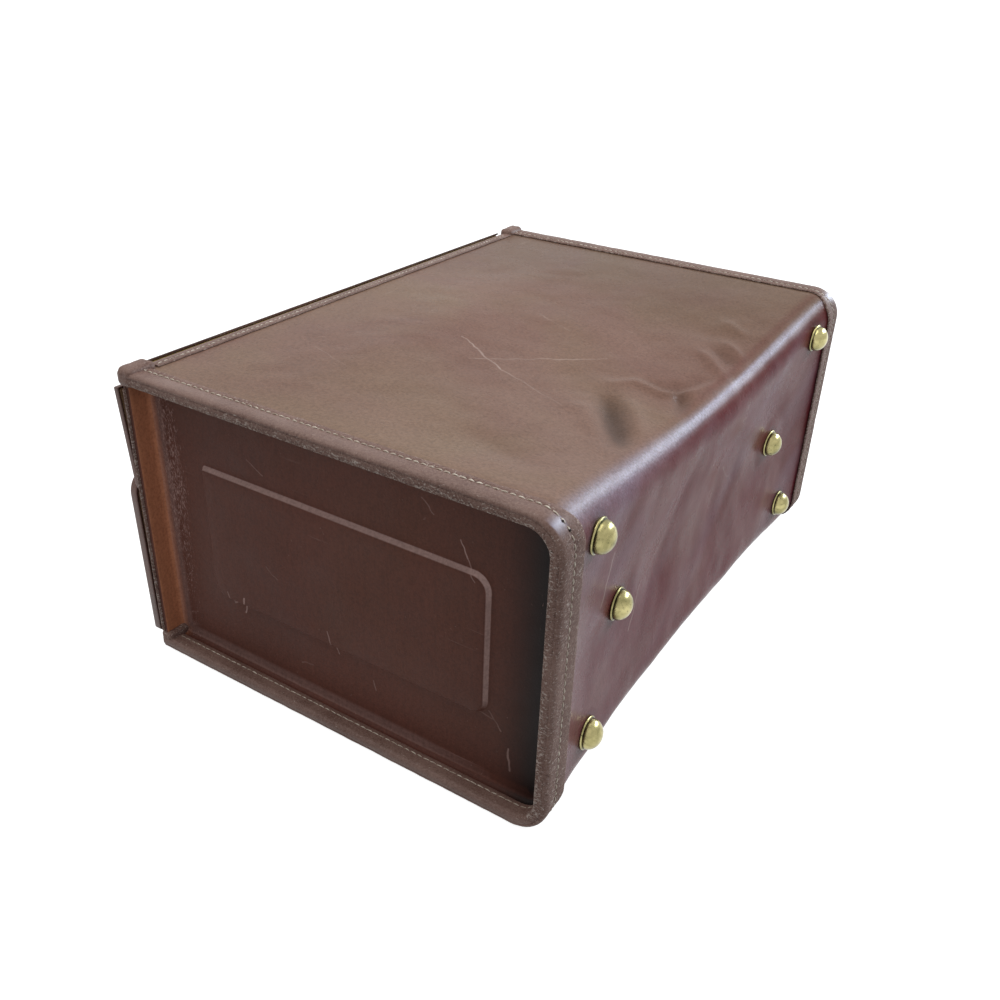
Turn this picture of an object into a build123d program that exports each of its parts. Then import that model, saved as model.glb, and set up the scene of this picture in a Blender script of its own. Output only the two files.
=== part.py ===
from build123d import *
import os
from math import asin, cos, pi, sin

os.makedirs("parts", exist_ok=True)

# Deep leather briefcase lying on its front face, in millimetres.
# X runs from the mouth to the footed bottom, Y along the case, Z up to the back face.
# The origin is on the floor under the middle of everything, with the lid, locks and feet.
case_height = 305.0
case_width = 454.0
case_depth = 206.0
rim_bend_radius = 22.0
body_shift = 12.15

# Leather and seams
strip_thick = 1.5
wrap_thick = 2.5
panel_thick = 2.5
lining_thick = 1.0
lining_start = 20.0
seam_gap = 0.1
soft_gap = 0.3

# Edge strips folded over the rims
strip_width = 17.0
strip_bottom_width = 23.0
strip_inner_width = 11.0
strip_edge_radius = 1.4
cap_width = 22.0
cap_outreach = 4.0
cap_overlap = 7.5
cap_drop = 10.0
cap_rise = 2.0
front_cap_outreach = 2.0
front_cap_drop = 13.0
cap_radius = 3.5

# End panels pressed as trays, with a raised rectangle
panel_recess = 16.0
panel_mouth_inset = 2.5
panel_fold_radius = 4.0
panel_mouth_radius = 6.0
plateau_height = 217.0
plateau_depth = 98.0
plateau_rise = 2.0
plateau_bevel = 5.0
plateau_radius = 12.0
plateau_off_centre = 4.0

# Mouth edges: hems over the wrap, stiffened by rails
mouth_overhang = 4.5
hem_thick = 1.1
hem_width = 14.0
rail_thick = 1.5
rail_width = 15.0
mouth_strip_width = 16.0
mouth_strip_radius = 0.9

# Sag of the body between the rims
sag_start = 90.0
sag_depth = 22.0
bottom_bow = 15.5
bend_bow = 6.0
bow_power = 0.6
least_sag = 0.5
sag_radius = 300.0
bow_radius = 200.0
sag_sections = 10

# Feet: domes on a short neck, riveted through the bottom
foot_radius = 12.3
foot_neck_radius = 10.2
foot_neck = 3.6
foot_height = 9.0
foot_stud_radius = 1.6
foot_lip = 0.8
foot_seat_gap = 0.3
burr_gap = 0.5
stud_clearance = 0.1
burr_radius = 6.0
burr_thick = 1.0
foot_back_inset = 44.0
foot_middle_inset = 94.0
foot_front_inset = 57.0
foot_back_drop = 28.0
foot_middle_rise = 1.0
foot_front_level = 35.0

# Hinges of the lid and of the rear flap
pin_radius = 1.1
pin_clearance = 0.05
knuckle_radius = 2.6
leaf_thick = 1.2
knuckles = 11
knuckle_gap = 0.4
leaf_gap = 0.5
body_leaf_reach = 24.0
lid_leaf_reach = 22.0
flap_leaf_reach = 16.0
hinge_end_gap = 4.0

# Lid, hinged at the front face
lid_axis_out = 5.4
lid_start = 1.0
lid_lock_gap = 7.0
lid_side_gap = 2.0
lid_thick = 6.6
lid_skin = 2.0
lid_board_thick = 3.0
lid_corner_radius = 16.0
lid_edge_radius = 1.8

# Rear flap, hinged at the back face and covered by the lid
flap_axis_out = 9.3
flap_start = 6.4
flap_overlap = 15.0
flap_mouth_gap = 0.4
flap_lid_gap = 0.45
flap_thick = 4.0
flap_skin = 1.5
flap_board_thick = 1.4
flap_corner_radius = 10.0
flap_edge_radius = 1.0
flap_roll_radius = 4.4
flap_roll_wall = 1.4

# Locks on the rear flap and hasps on the lid
lock_spacing = 290.0
lock_length = 46.0
lock_start = 24.0
lock_height = 36.0
lock_wall = 1.2
lock_radius = 4.0
hasp_offset = 9.0
hasp_width = 18.0
hasp_plate_thick = 1.4
hasp_base_thick = 1.2
hasp_base_height = 20.0
hasp_knuckle_radius = 1.9
hasp_pin_radius = 0.8
hasp_reach = 44.0
hasp_edge_inset = 3.0
hasp_gap = 0.4
nose_length = 10.0
nose_height = 3.4
nose_depth = 4.2
nose_place = 31.0
nose_clearance = 1.2
nose_drop_clearance = 3.4
button_length = 9.0
button_height = 13.0
button_rise = 2.6
button_travel = 6.0
button_offset = -11.5
button_stem = 4.0
bolt_thick = 1.6
bolt_height = 8.0
slide_gap = 0.3

# Handle on the lid
handle_edge_inset = 26.0
handle_drop = 40.0
handle_span = 128.0
grip_width = 17.0
grip_thick = 12.0
grip_edge_radius = 5.0
grip_bend_radius = 16.0
pivot_rise = 6.6
ear_thick = 1.6
ear_radius = 4.6
ear_gap = 9.0
bracket_height = 20.0
bracket_base = 1.4
handle_pin_radius = 1.6
handle_eye_radius = 3.6
handle_end_length = 13.0
handle_end_start = 5.2
handle_end_radius = 4.6
handle_end_bevel = 0.8
handle_pin_head_radius = 2.6
handle_pin_head = 1.0

# Places worked out from the sizes above
mouth_x = body_shift - case_height / 2
bottom_x = body_shift + case_height / 2
near_y = -case_width / 2
mouth_face_x = mouth_x - mouth_overhang
wrap_mouth_x = mouth_face_x + hem_thick + seam_gap
wrap_depth = strip_thick + seam_gap
panel_depth = wrap_depth + wrap_thick + seam_gap
inner_leg_depth = panel_depth + panel_thick + seam_gap
rim_stack = inner_leg_depth + strip_thick
web_y = near_y + panel_recess
inside_y = web_y + panel_thick
sag_y = near_y + cap_width
sag_length = case_width - 2 * cap_width


def end_plane(y):
    """Upright plane across the case at one place along it, with its sketch axes along X and Z."""
    return Plane.XZ.offset(-y)


def outline_walls(depth, start_x):
    """Lines of the case's section a given depth inside the rim outline, closed at the mouth."""
    walls = FilletPolyline(
        (start_x, depth),
        (bottom_x - depth, depth),
        (bottom_x - depth, case_depth - depth),
        (start_x, case_depth - depth),
        radius=rim_bend_radius - depth,
    )
    Line(walls @ 1, walls @ 0)


def area_in_outline(y, depth, start_x):
    """Area of the case's section inside one depth."""
    with BuildSketch(end_plane(y)) as area:
        with BuildLine():
            outline_walls(depth, start_x)
        make_face()
    return area.sketch


def band_in_outline(y, outer, inner, start_x):
    """U-shaped band between two depths inside the rim outline."""
    with BuildSketch(end_plane(y)) as band:
        with BuildLine():
            outline_walls(outer, start_x)
        make_face()
        with BuildLine():
            outline_walls(inner, start_x - 1)
        make_face(mode=Mode.SUBTRACT)
    return band.sketch


# Wrap: back face, bottom and front face from one hide, flat at the rims and sagged between them
def sag_shape(share):
    """Sag of the back face, bow of the bottom and bow of its bends at a share of the free length."""
    wave = sin(pi * share)
    soft = max(wave, 0) ** bow_power
    return least_sag + sag_depth * wave, least_sag + bottom_bow * soft, bend_bow * soft


def wrap_line(share, depth, start_x, sagged):
    """Line of the hide's section from the back face to the front face."""
    sag, bow, bend = sag_shape(share)
    top_z = case_depth - depth
    back_x = bottom_x - depth
    if sagged:
        return FilletPolyline(
            (start_x, top_z),
            (mouth_x + sag_start, top_z),
            (back_x - bend, top_z - sag),
            (back_x - bow, case_depth / 2),
            (back_x - bend, depth),
            (start_x, depth),
            radius=[sag_radius, rim_bend_radius - depth, bow_radius, rim_bend_radius - depth],
        )
    return FilletPolyline(
        (start_x, top_z),
        (back_x, top_z),
        (back_x, depth),
        (start_x, depth),
        radius=rim_bend_radius - depth,
    )


def wrap_section(share, depth, thick, start_x, sagged=True):
    """Section of a sheet whose outside lies a given depth inside the rim outline."""
    y = sag_y + sag_length * share
    with BuildSketch(end_plane(y)) as section:
        with BuildLine():
            line = wrap_line(share, depth, start_x, sagged)
            offset(line, amount=thick, side=Side.RIGHT)
        make_face()
    return section.sketch


def sag_shares():
    """Shares of the free length where sections stand, closer together near the rims."""
    return [(1 - cos(pi * step / sag_sections)) / 2 for step in range(sag_sections + 1)]


with BuildPart() as wrap_blank:
    for share in sag_shares():
        add(wrap_section(share, wrap_depth, wrap_thick, wrap_mouth_x))
    loft()
    for share, side in ((0, -1), (1, 1)):
        flat_section = wrap_section(share, wrap_depth, wrap_thick, wrap_mouth_x, sagged=False)
        extrude(flat_section, amount=cap_width - strip_thick - seam_gap, dir=(0, side, 0))

with BuildPart() as lining_blank:
    for share in sag_shares():
        add(wrap_section(share, wrap_depth + wrap_thick + soft_gap, lining_thick, mouth_x + lining_start))
    loft()


# Feet: each stands square on the bowed bottom, where a line from outside meets the hide
def foot_seat(y, z):
    """Plane on the hide at one place of the bottom, with its normal pointing out."""
    probe = Axis((bottom_x + foot_height, y, z), (-1, 0, 0))
    hits = wrap_blank.part.solid().find_intersection_points(probe)
    point, normal = max(hits, key=lambda hit: hit[0].X)
    return Plane(origin=point, z_dir=normal)


foot_places = {}
for end_name, end_side in (("near", -1), ("far", 1)):
    for row_name, inset, level in (
        ("back", foot_back_inset, case_depth - foot_back_drop),
        ("middle", foot_middle_inset, case_depth / 2 + foot_middle_rise),
        ("front", foot_front_inset, foot_front_level),
    ):
        foot_places[f"{row_name}_{end_name}"] = foot_seat(end_side * (case_width / 2 - inset), level)

stud_length = wrap_thick + soft_gap + lining_thick + foot_seat_gap + burr_gap + burr_thick

with BuildPart() as body_wrap:
    add(wrap_blank.part)
    for seat in foot_places.values():
        with Locations(seat):
            Hole(foot_stud_radius + stud_clearance, depth=2 * wrap_thick)

with BuildPart() as body_lining:
    add(lining_blank.part)
    for seat in foot_places.values():
        with Locations(seat):
            Hole(foot_stud_radius + stud_clearance, depth=2 * stud_length)


def foot(seat):
    """Dome on a tapered neck, with the stud that is riveted through the hide."""
    side_plane = Plane(origin=seat.origin, x_dir=seat.z_dir, z_dir=seat.x_dir)
    base = foot_seat_gap
    with BuildPart() as dome:
        with BuildSketch(side_plane):
            with BuildLine():
                Polyline(
                    (base + foot_height, 0),
                    (-stud_length - foot_seat_gap, 0),
                    (-stud_length - foot_seat_gap, foot_stud_radius),
                    (base, foot_stud_radius),
                    (base, foot_neck_radius),
                    (base + foot_neck, foot_radius - foot_lip),
                    (base + foot_neck, foot_radius),
                )
                EllipticalCenterArc(
                    (base + foot_neck, 0),
                    foot_height - foot_neck,
                    foot_radius,
                    start_angle=0,
                    arc_size=90,
                )
            make_face()
        revolve(axis=Axis(seat.origin, seat.z_dir))
    return dome.part


feet = {}
for place_name, seat in foot_places.items():
    with BuildPart() as feet[f"foot_{place_name}"]:
        add(foot(seat))

with BuildPart() as foot_burrs:
    for seat in foot_places.values():
        with BuildSketch(seat.offset(foot_seat_gap - stud_length)):
            Circle(burr_radius)
            Circle(foot_stud_radius + stud_clearance, mode=Mode.SUBTRACT)
        extrude(amount=burr_thick)


# End panels: leather trays with flanges turned outward and a raised rectangle in the recess
def plateau(y):
    """Raised rectangle with bevelled sides, standing on one level of the panel."""
    with BuildPart() as block:
        for rise, inset in ((0, 0), (plateau_rise, plateau_bevel)):
            with BuildSketch(end_plane(y - rise)):
                with Locations((body_shift - plateau_off_centre, case_depth / 2)):
                    RectangleRounded(
                        plateau_height - 2 * inset,
                        plateau_depth - 2 * inset,
                        plateau_radius - inset,
                    )
        loft()
    return block.part


with BuildPart() as end_panel_near:
    with BuildSketch(end_plane(near_y + wrap_depth)):
        tray_start = mouth_x - panel_mouth_inset
        tray_end = bottom_x - panel_depth
        with Locations(((tray_start + tray_end) / 2, case_depth / 2)):
            Rectangle(tray_end - tray_start, case_depth - 2 * panel_depth)
        fillet(vertices().group_by(Axis.X)[-1], radius=rim_bend_radius - panel_depth)
        fillet(vertices().group_by(Axis.X)[0], radius=panel_mouth_radius)
    extrude(amount=-(inside_y - near_y - wrap_depth))
    fillet(faces().sort_by(Axis.Y)[-1].edges(), radius=panel_fold_radius)
    offset(amount=-panel_thick, openings=faces().sort_by(Axis.Y)[0])
    add(plateau(web_y))
    add(plateau(inside_y), mode=Mode.SUBTRACT)

with BuildPart() as end_panel_far:
    mirror(end_panel_near.part, about=Plane.XZ)

with BuildPart() as end_lining_near:
    lining_inset = wrap_depth + wrap_thick + soft_gap
    with BuildSketch(end_plane(inside_y + seam_gap)):
        lining_end = bottom_x - lining_inset
        with Locations(((mouth_x + lining_end) / 2, case_depth / 2)):
            Rectangle(lining_end - mouth_x, case_depth - 2 * lining_inset)
        fillet(vertices().group_by(Axis.X)[-1], radius=rim_bend_radius - lining_inset)
    extrude(amount=-lining_thick)

with BuildPart() as end_lining_far:
    mirror(end_lining_near.part, about=Plane.XZ)


# Edge strips: leather channels over the rims, with a rolled cap at each end of the mouth
def cap(low_x, low_z, high_z, hollow_low_z, hollow_high_z):
    """Rolled end of a strip, folded round the corner of the mouth."""
    high_x = wrap_mouth_x + cap_overlap
    hollow_x = mouth_face_x - seam_gap
    with BuildPart() as roll:
        with BuildSketch(end_plane(near_y)):
            with Locations(((low_x + high_x) / 2, (low_z + high_z) / 2)):
                RectangleRounded(high_x - low_x, high_z - low_z, cap_radius)
            with Locations(((hollow_x + high_x + 1) / 2, (hollow_low_z + hollow_high_z) / 2)):
                Rectangle(high_x + 1 - hollow_x, hollow_high_z - hollow_low_z, mode=Mode.SUBTRACT)
        extrude(amount=-cap_width)
    return roll.part


with BuildPart() as edge_strip_near:
    over_rim = band_in_outline(near_y, 0, rim_stack, wrap_mouth_x)
    over_bottom = band_in_outline(near_y, 0, strip_thick, bottom_x - rim_bend_radius - strip_thick)
    channel = band_in_outline(near_y + strip_thick, strip_thick, inner_leg_depth, wrap_mouth_x - strip_thick)
    past_inner_leg = area_in_outline(near_y + strip_inner_width, strip_thick, wrap_mouth_x - strip_thick)
    extrude(over_rim, amount=strip_width, dir=(0, 1, 0))
    extrude(over_bottom, amount=strip_bottom_width, dir=(0, 1, 0))
    extrude(channel, amount=strip_bottom_width, dir=(0, 1, 0), mode=Mode.SUBTRACT)
    extrude(past_inner_leg, amount=strip_bottom_width, dir=(0, 1, 0), mode=Mode.SUBTRACT)
    with BuildSketch(end_plane(near_y + strip_thick)):
        inner_leg_x = mouth_x - panel_mouth_inset + panel_mouth_radius + seam_gap
        with Locations(((wrap_mouth_x + inner_leg_x) / 2 - strip_thick / 2, case_depth / 2)):
            Rectangle(inner_leg_x - wrap_mouth_x + strip_thick, case_depth - 2 * strip_thick)
    extrude(amount=-strip_bottom_width, mode=Mode.SUBTRACT)
    fillet(edges().group_by(Axis.Y)[0], radius=strip_edge_radius)
    back_cap_low_z = case_depth - cap_drop
    add(cap(mouth_face_x - cap_outreach, back_cap_low_z, case_depth + cap_rise, 0, case_depth - strip_thick))
    add(cap(mouth_face_x - front_cap_outreach, 0, front_cap_drop, strip_thick, case_depth))

with BuildPart() as edge_strip_far:
    mirror(edge_strip_near.part, about=Plane.XZ)

with BuildPart() as mouth_strip_near:
    mouth_strip_back_x = mouth_x - panel_mouth_inset - seam_gap
    mouth_strip_low_z = front_cap_drop + soft_gap
    mouth_strip_high_z = case_depth - cap_drop - soft_gap
    with BuildSketch(Plane.XY.offset(mouth_strip_low_z)):
        with Locations(((mouth_face_x + mouth_strip_back_x) / 2, near_y + mouth_strip_width / 2)):
            RectangleRounded(mouth_strip_back_x - mouth_face_x, mouth_strip_width, mouth_strip_radius)
    extrude(amount=mouth_strip_high_z - mouth_strip_low_z)

with BuildPart() as mouth_strip_far:
    mirror(mouth_strip_near.part, about=Plane.XZ)


# Hems and rails along the mouth edges of the back and front faces
def middle_point(low_x, high_x, low_depth, high_depth, at_back):
    """Centre of a box seen along the case, placed by its depth inside the back or front face."""
    mid_depth = (low_depth + high_depth) / 2
    return ((low_x + high_x) / 2, case_depth - mid_depth if at_back else mid_depth)


rail_depth = wrap_depth + wrap_thick + seam_gap
hem_inner_depth = rail_depth + rail_thick + seam_gap
hem_depth = hem_inner_depth + hem_thick
hem_length = case_width - 2 * (cap_width + soft_gap)
rail_length = case_width - 2 * (inside_y + lining_thick + 2 * soft_gap - near_y)


def hem(at_back):
    """Leather folded over the mouth edge of the hide and its rail."""
    high_x = mouth_face_x + hem_width
    with BuildPart() as fold:
        with BuildSketch(Plane.XZ):
            with Locations(middle_point(mouth_face_x, high_x, strip_thick - hem_thick, hem_depth, at_back)):
                Rectangle(hem_width, hem_depth - strip_thick + hem_thick)
            fillet(vertices().group_by(Axis.X)[0], radius=hem_thick)
            slot_x = mouth_face_x + hem_thick
            with Locations(middle_point(slot_x, high_x + 1, strip_thick, hem_inner_depth, at_back)):
                Rectangle(high_x + 1 - slot_x, hem_inner_depth - strip_thick, mode=Mode.SUBTRACT)
        extrude(amount=hem_length / 2, both=True)
    return fold.part


def rail(at_back):
    """Steel strip that stiffens the mouth edge inside the hem."""
    with BuildPart() as strip:
        with BuildSketch(Plane.XZ):
            with Locations(
                middle_point(wrap_mouth_x, wrap_mouth_x + rail_width, rail_depth, rail_depth + rail_thick, at_back)
            ):
                Rectangle(rail_width, rail_thick)
        extrude(amount=rail_length / 2, both=True)
    return strip.part


with BuildPart() as back_hem:
    add(hem(True))

with BuildPart() as front_hem:
    add(hem(False))

with BuildPart() as back_rail:
    add(rail(True))

with BuildPart() as front_rail:
    add(rail(False))

# Frames of the lid and the rear flap: sketch X along the case, Y away from the pin, Z outward
leaf_depth = hem_depth + seam_gap
lid_pin = Vector(mouth_x - lid_axis_out, 0, leaf_depth + knuckle_radius)
flap_pin = Vector(mouth_x - flap_axis_out, 0, case_depth - leaf_depth - leaf_thick + knuckle_radius)

# The lid ends short of the locks, the flap ends under the lid, and both lean just enough to pass
lid_length = flap_pin.Z - lock_start - lock_height - lid_lock_gap - lid_pin.Z
flap_under_lid = lock_start + lock_height + lid_lock_gap
flap_length = flap_under_lid + flap_overlap
flap_lean_out = flap_axis_out + knuckle_radius - mouth_overhang - flap_mouth_gap
flap_tilt = asin(flap_lean_out / flap_length)
flap_face_out = flap_axis_out - flap_under_lid * sin(flap_tilt) + knuckle_radius + flap_thick
lid_tilt = asin((flap_face_out + flap_lid_gap - lid_axis_out - knuckle_radius) / lid_length)
lid_along = Vector(-sin(lid_tilt), 0, cos(lid_tilt))
lid_out = Vector(-cos(lid_tilt), 0, -sin(lid_tilt))
flap_along = Vector(sin(flap_tilt), 0, -cos(flap_tilt))
flap_out = Vector(-cos(flap_tilt), 0, -sin(flap_tilt))
lid_frame = Plane(origin=lid_pin, x_dir=(0, -1, 0), z_dir=lid_out)
flap_frame = Plane(origin=flap_pin, x_dir=(0, 1, 0), z_dir=flap_out)
hinge_length = case_width - 2 * (cap_width + hinge_end_gap)


# Hinges: two leaves with knuckles in turn on one pin
def hinge_leaf(pin, direction, plate_side, first, reach):
    """Leaf with every second knuckle and a plate that leaves them on one side."""
    across = Plane(origin=pin, x_dir=direction, z_dir=(0, -1, 0))
    pitch = hinge_length / knuckles
    plate_start = knuckle_radius + leaf_gap
    plate_level = plate_side * (knuckle_radius - leaf_thick / 2)
    with BuildPart() as leaf:
        for place in range(first, knuckles, 2):
            with BuildSketch(across.offset(place * pitch - hinge_length / 2 + knuckle_gap / 2)):
                Circle(knuckle_radius)
                with Locations((plate_start / 2 + leaf_gap / 2, plate_level)):
                    Rectangle(plate_start + leaf_gap, leaf_thick)
                Circle(pin_radius + pin_clearance, mode=Mode.SUBTRACT)
            extrude(amount=pitch - knuckle_gap)
        with BuildSketch(across.offset(-hinge_length / 2)):
            with Locations(((plate_start + reach) / 2, plate_level)):
                Rectangle(reach - plate_start, leaf_thick)
        extrude(amount=hinge_length)
    return leaf.part


def hinge_pin(pin):
    """Pin through all the knuckles."""
    with BuildPart() as rod:
        with BuildSketch(Plane(origin=pin, x_dir=(1, 0, 0), z_dir=(0, -1, 0))):
            Circle(pin_radius)
        extrude(amount=hinge_length / 2, both=True)
    return rod.part


with BuildPart() as lid_hinge_body_leaf:
    add(hinge_leaf(lid_pin, (1, 0, 0), -1, 0, body_leaf_reach))

with BuildPart() as lid_hinge_lid_leaf:
    add(hinge_leaf(lid_pin, lid_along, 1, 1, lid_leaf_reach))

with BuildPart() as lid_hinge_pin:
    add(hinge_pin(lid_pin))

with BuildPart() as flap_hinge_body_leaf:
    add(hinge_leaf(flap_pin, (1, 0, 0), -1, 0, body_leaf_reach))

with BuildPart() as flap_hinge_flap_leaf:
    add(hinge_leaf(flap_pin, flap_along, -1, 1, flap_leaf_reach))

with BuildPart() as flap_hinge_pin:
    add(hinge_pin(flap_pin))


# Lid and rear flap: a leather cover with turned edges round a board, closed by a lining
def cover_outline(width, start, end, corner):
    """Outline of a cover, with its free corners rounded."""
    with Locations((0, (start + end) / 2)):
        Rectangle(width, end - start)
    fillet(vertices().group_by(Axis.Y)[-1], radius=corner)


def cover(frame, outward, width, start, end, corner, thick, skin, edge):
    """Leather skin with walls on all sides and a pocket for the board and lining."""
    with BuildPart() as shell:
        with BuildSketch(frame.offset(knuckle_radius)):
            cover_outline(width, start, end, corner)
        extrude(amount=thick)
        fillet(faces().sort_by(Axis((0, 0, 0), outward))[-1].edges(), radius=edge)
        with BuildSketch(frame.offset(knuckle_radius)):
            cover_outline(width - 2 * skin, start + skin, end - skin, corner - skin)
        extrude(amount=thick - skin, mode=Mode.SUBTRACT)
    return shell.part


def insert(frame, width, start, end, corner, skin, level, thick):
    """Flat sheet inside the walls of a cover."""
    inset = skin + seam_gap
    with BuildPart() as sheet:
        with BuildSketch(frame.offset(knuckle_radius + level)):
            cover_outline(width - 2 * inset, start + inset, end - inset, corner - inset)
        extrude(amount=thick)
    return sheet.part


lid_width = case_width - 2 * lid_side_gap
lid_lining_thick = lid_thick - lid_skin - lid_board_thick - 2 * seam_gap
flap_lining_thick = flap_thick - flap_skin - flap_board_thick - 2 * seam_gap
lid_outline = (lid_width, lid_start, lid_length, lid_corner_radius)
flap_outline = (lid_width, flap_start, flap_length, flap_corner_radius)

with BuildPart() as lid_cover:
    add(cover(lid_frame, lid_out, *lid_outline, lid_thick, lid_skin, lid_edge_radius))

with BuildPart() as lid_board:
    add(insert(lid_frame, *lid_outline, lid_skin, lid_lining_thick + seam_gap, lid_board_thick))

with BuildPart() as lid_lining:
    add(insert(lid_frame, *lid_outline, lid_skin, 0, lid_lining_thick))

with BuildPart() as flap_cover:
    add(cover(flap_frame, flap_out, *flap_outline, flap_thick, flap_skin, flap_edge_radius))
    roll_plane = Plane(origin=flap_pin, x_dir=flap_out, z_dir=(0, -1, 0))
    with BuildSketch(roll_plane):
        Circle(flap_roll_radius)
        Circle(flap_roll_radius - flap_roll_wall, mode=Mode.SUBTRACT)
        with Locations((flap_roll_radius / 2, -flap_roll_radius / 2)):
            Rectangle(flap_roll_radius, flap_roll_radius, mode=Mode.INTERSECT)
        neck_length = flap_start + flap_skin
        with Locations((flap_roll_radius - flap_roll_wall / 2, neck_length / 2)):
            Rectangle(flap_roll_wall, neck_length)
    extrude(amount=hem_length / 2, both=True)

with BuildPart() as flap_board:
    add(insert(flap_frame, *flap_outline, flap_skin, flap_lining_thick + seam_gap, flap_board_thick))

with BuildPart() as flap_lining:
    add(insert(flap_frame, *flap_outline, flap_skin, 0, flap_lining_thick))

# Hasp pins stand on the lid near its free edge, and the locks are as deep as the hasps need
lid_outside = knuckle_radius + lid_thick
flap_outside = knuckle_radius + flap_thick
hasp_y = hasp_offset - lock_spacing / 2
hasp_pin_rise = hasp_knuckle_radius + hasp_gap
hasp_hinge_level = lid_length - hasp_edge_inset
hasp_pin_place = lid_frame.from_local_coords(Vector(-hasp_y, hasp_hinge_level, lid_outside + hasp_pin_rise))
hasp_from_flap = flap_frame.to_local_coords(hasp_pin_place)
lock_front = hasp_from_flap.Z - hasp_pin_rise
lock_middle = lock_start + lock_height / 2


def at_lock(along, down, out):
    """Plane on the rear flap, measured from the middle of the near lock towards the far one."""
    place = flap_frame.from_local_coords(Vector(along - lock_spacing / 2, down, out))
    return Plane(origin=place, x_dir=(0, 1, 0), z_dir=flap_out)


# Locks: a hollow case on the rear flap with a sliding button, whose bolt stands beside the nose
with BuildPart() as lock_body_near:
    with BuildSketch(at_lock(0, lock_middle, flap_outside)):
        RectangleRounded(lock_length, lock_height, lock_radius)
    extrude(amount=lock_front - flap_outside)
    fillet(faces().sort_by(Axis((0, 0, 0), flap_out))[-1].edges(), radius=lock_wall / 2)
    with BuildSketch(at_lock(0, lock_middle, flap_outside)):
        RectangleRounded(lock_length - 2 * lock_wall, lock_height - 2 * lock_wall, lock_radius - lock_wall)
    extrude(amount=lock_front - flap_outside - lock_wall, mode=Mode.SUBTRACT)
    mouth_drop = (nose_drop_clearance - nose_clearance) / 2
    with BuildSketch(at_lock(hasp_offset, nose_place + mouth_drop, lock_front)):
        Rectangle(nose_length + 2 * nose_clearance, nose_height + nose_clearance + nose_drop_clearance)
    extrude(amount=-2 * lock_wall, mode=Mode.SUBTRACT)
    with BuildSketch(at_lock(button_offset - button_travel / 2, nose_place, lock_front)):
        Rectangle(button_stem + button_travel + 2 * slide_gap, button_stem + 2 * slide_gap)
    extrude(amount=-2 * lock_wall, mode=Mode.SUBTRACT)

with BuildPart() as lock_slide_near:
    with BuildSketch(at_lock(button_offset, nose_place, lock_front + slide_gap)):
        RectangleRounded(button_length, button_height, button_length / 4)
    extrude(amount=button_rise)
    fillet(faces().sort_by(Axis((0, 0, 0), flap_out))[-1].edges(), radius=button_rise / 3)
    with BuildSketch(at_lock(button_offset, nose_place, lock_front + slide_gap)):
        Rectangle(button_stem, button_stem)
    extrude(amount=-(lock_wall + 2 * slide_gap))
    bolt_tip = hasp_offset - nose_length / 2 - hasp_gap
    bolt_tail = button_offset - button_stem / 2 - slide_gap
    with BuildSketch(at_lock((bolt_tip + bolt_tail) / 2, nose_place, lock_front - lock_wall - slide_gap)):
        Rectangle(bolt_tip - bolt_tail, bolt_height)
    extrude(amount=-bolt_thick)


# Hasps: base plate on the lid, hinged plate over the lock and the nose that enters it
hasp_quarter = hasp_width / 4
hasp_tab = hasp_knuckle_radius + 2 * hasp_gap


def hasp_knuckle(low, high, direction, level, thick):
    """One knuckle of a hasp's hinge with the tab that joins it to its plate."""
    start = hasp_pin_place + Vector(0, low, 0)
    with BuildPart() as knuckle:
        with BuildSketch(Plane(origin=start, x_dir=direction, z_dir=(0, 1, 0))):
            Circle(hasp_knuckle_radius)
            with Locations((hasp_tab / 2, level)):
                Rectangle(hasp_tab, thick)
            Circle(hasp_pin_radius + pin_clearance, mode=Mode.SUBTRACT)
        extrude(amount=high - low)
    return knuckle.part


with BuildPart() as hasp_base_near:
    for low in (-hasp_width / 2, hasp_quarter + hasp_gap / 2):
        high = low + hasp_quarter - hasp_gap / 2
        base_level = hasp_base_thick / 2 - hasp_pin_rise
        add(hasp_knuckle(low, high, -lid_along, base_level, hasp_base_thick))
    with BuildSketch(lid_frame.offset(lid_outside)):
        base_start = hasp_hinge_level - hasp_base_height
        base_end = hasp_hinge_level - hasp_knuckle_radius - hasp_gap
        with Locations((-hasp_y, (base_start + base_end) / 2)):
            Rectangle(hasp_width, base_end - base_start)
        fillet(vertices().group_by(Axis.Z)[0], radius=hasp_quarter)
    extrude(amount=hasp_base_thick)

with BuildPart() as hasp_plate_near:
    plate_level = hasp_knuckle_radius - hasp_plate_thick / 2
    add(
        hasp_knuckle(
            hasp_gap / 2 - hasp_quarter,
            hasp_quarter - hasp_gap / 2,
            -flap_along,
            plate_level,
            hasp_plate_thick,
        )
    )
    plate_start = hasp_from_flap.Y - hasp_knuckle_radius - hasp_gap
    plate_end = hasp_from_flap.Y - hasp_reach
    with BuildSketch(at_lock(hasp_offset, (plate_start + plate_end) / 2, lock_front + hasp_gap)):
        RectangleRounded(hasp_width, plate_start - plate_end, hasp_quarter / 2)
    extrude(amount=hasp_plate_thick)
    with BuildSketch(at_lock(hasp_offset, nose_place, lock_front + hasp_gap)):
        Rectangle(nose_length, nose_height)
    extrude(amount=-nose_depth)

with BuildPart() as hasp_pin_near:
    with BuildSketch(Plane(origin=hasp_pin_place, z_dir=(0, 1, 0))):
        Circle(hasp_pin_radius)
    extrude(amount=hasp_width / 2, both=True)

with BuildPart() as lock_body_far:
    mirror(lock_body_near.part, about=Plane.XZ)

with BuildPart() as lock_slide_far:
    mirror(lock_slide_near.part, about=Plane.XZ)

with BuildPart() as hasp_base_far:
    mirror(hasp_base_near.part, about=Plane.XZ)

with BuildPart() as hasp_plate_far:
    mirror(hasp_plate_near.part, about=Plane.XZ)

with BuildPart() as hasp_pin_far:
    mirror(hasp_pin_near.part, about=Plane.XZ)

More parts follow.
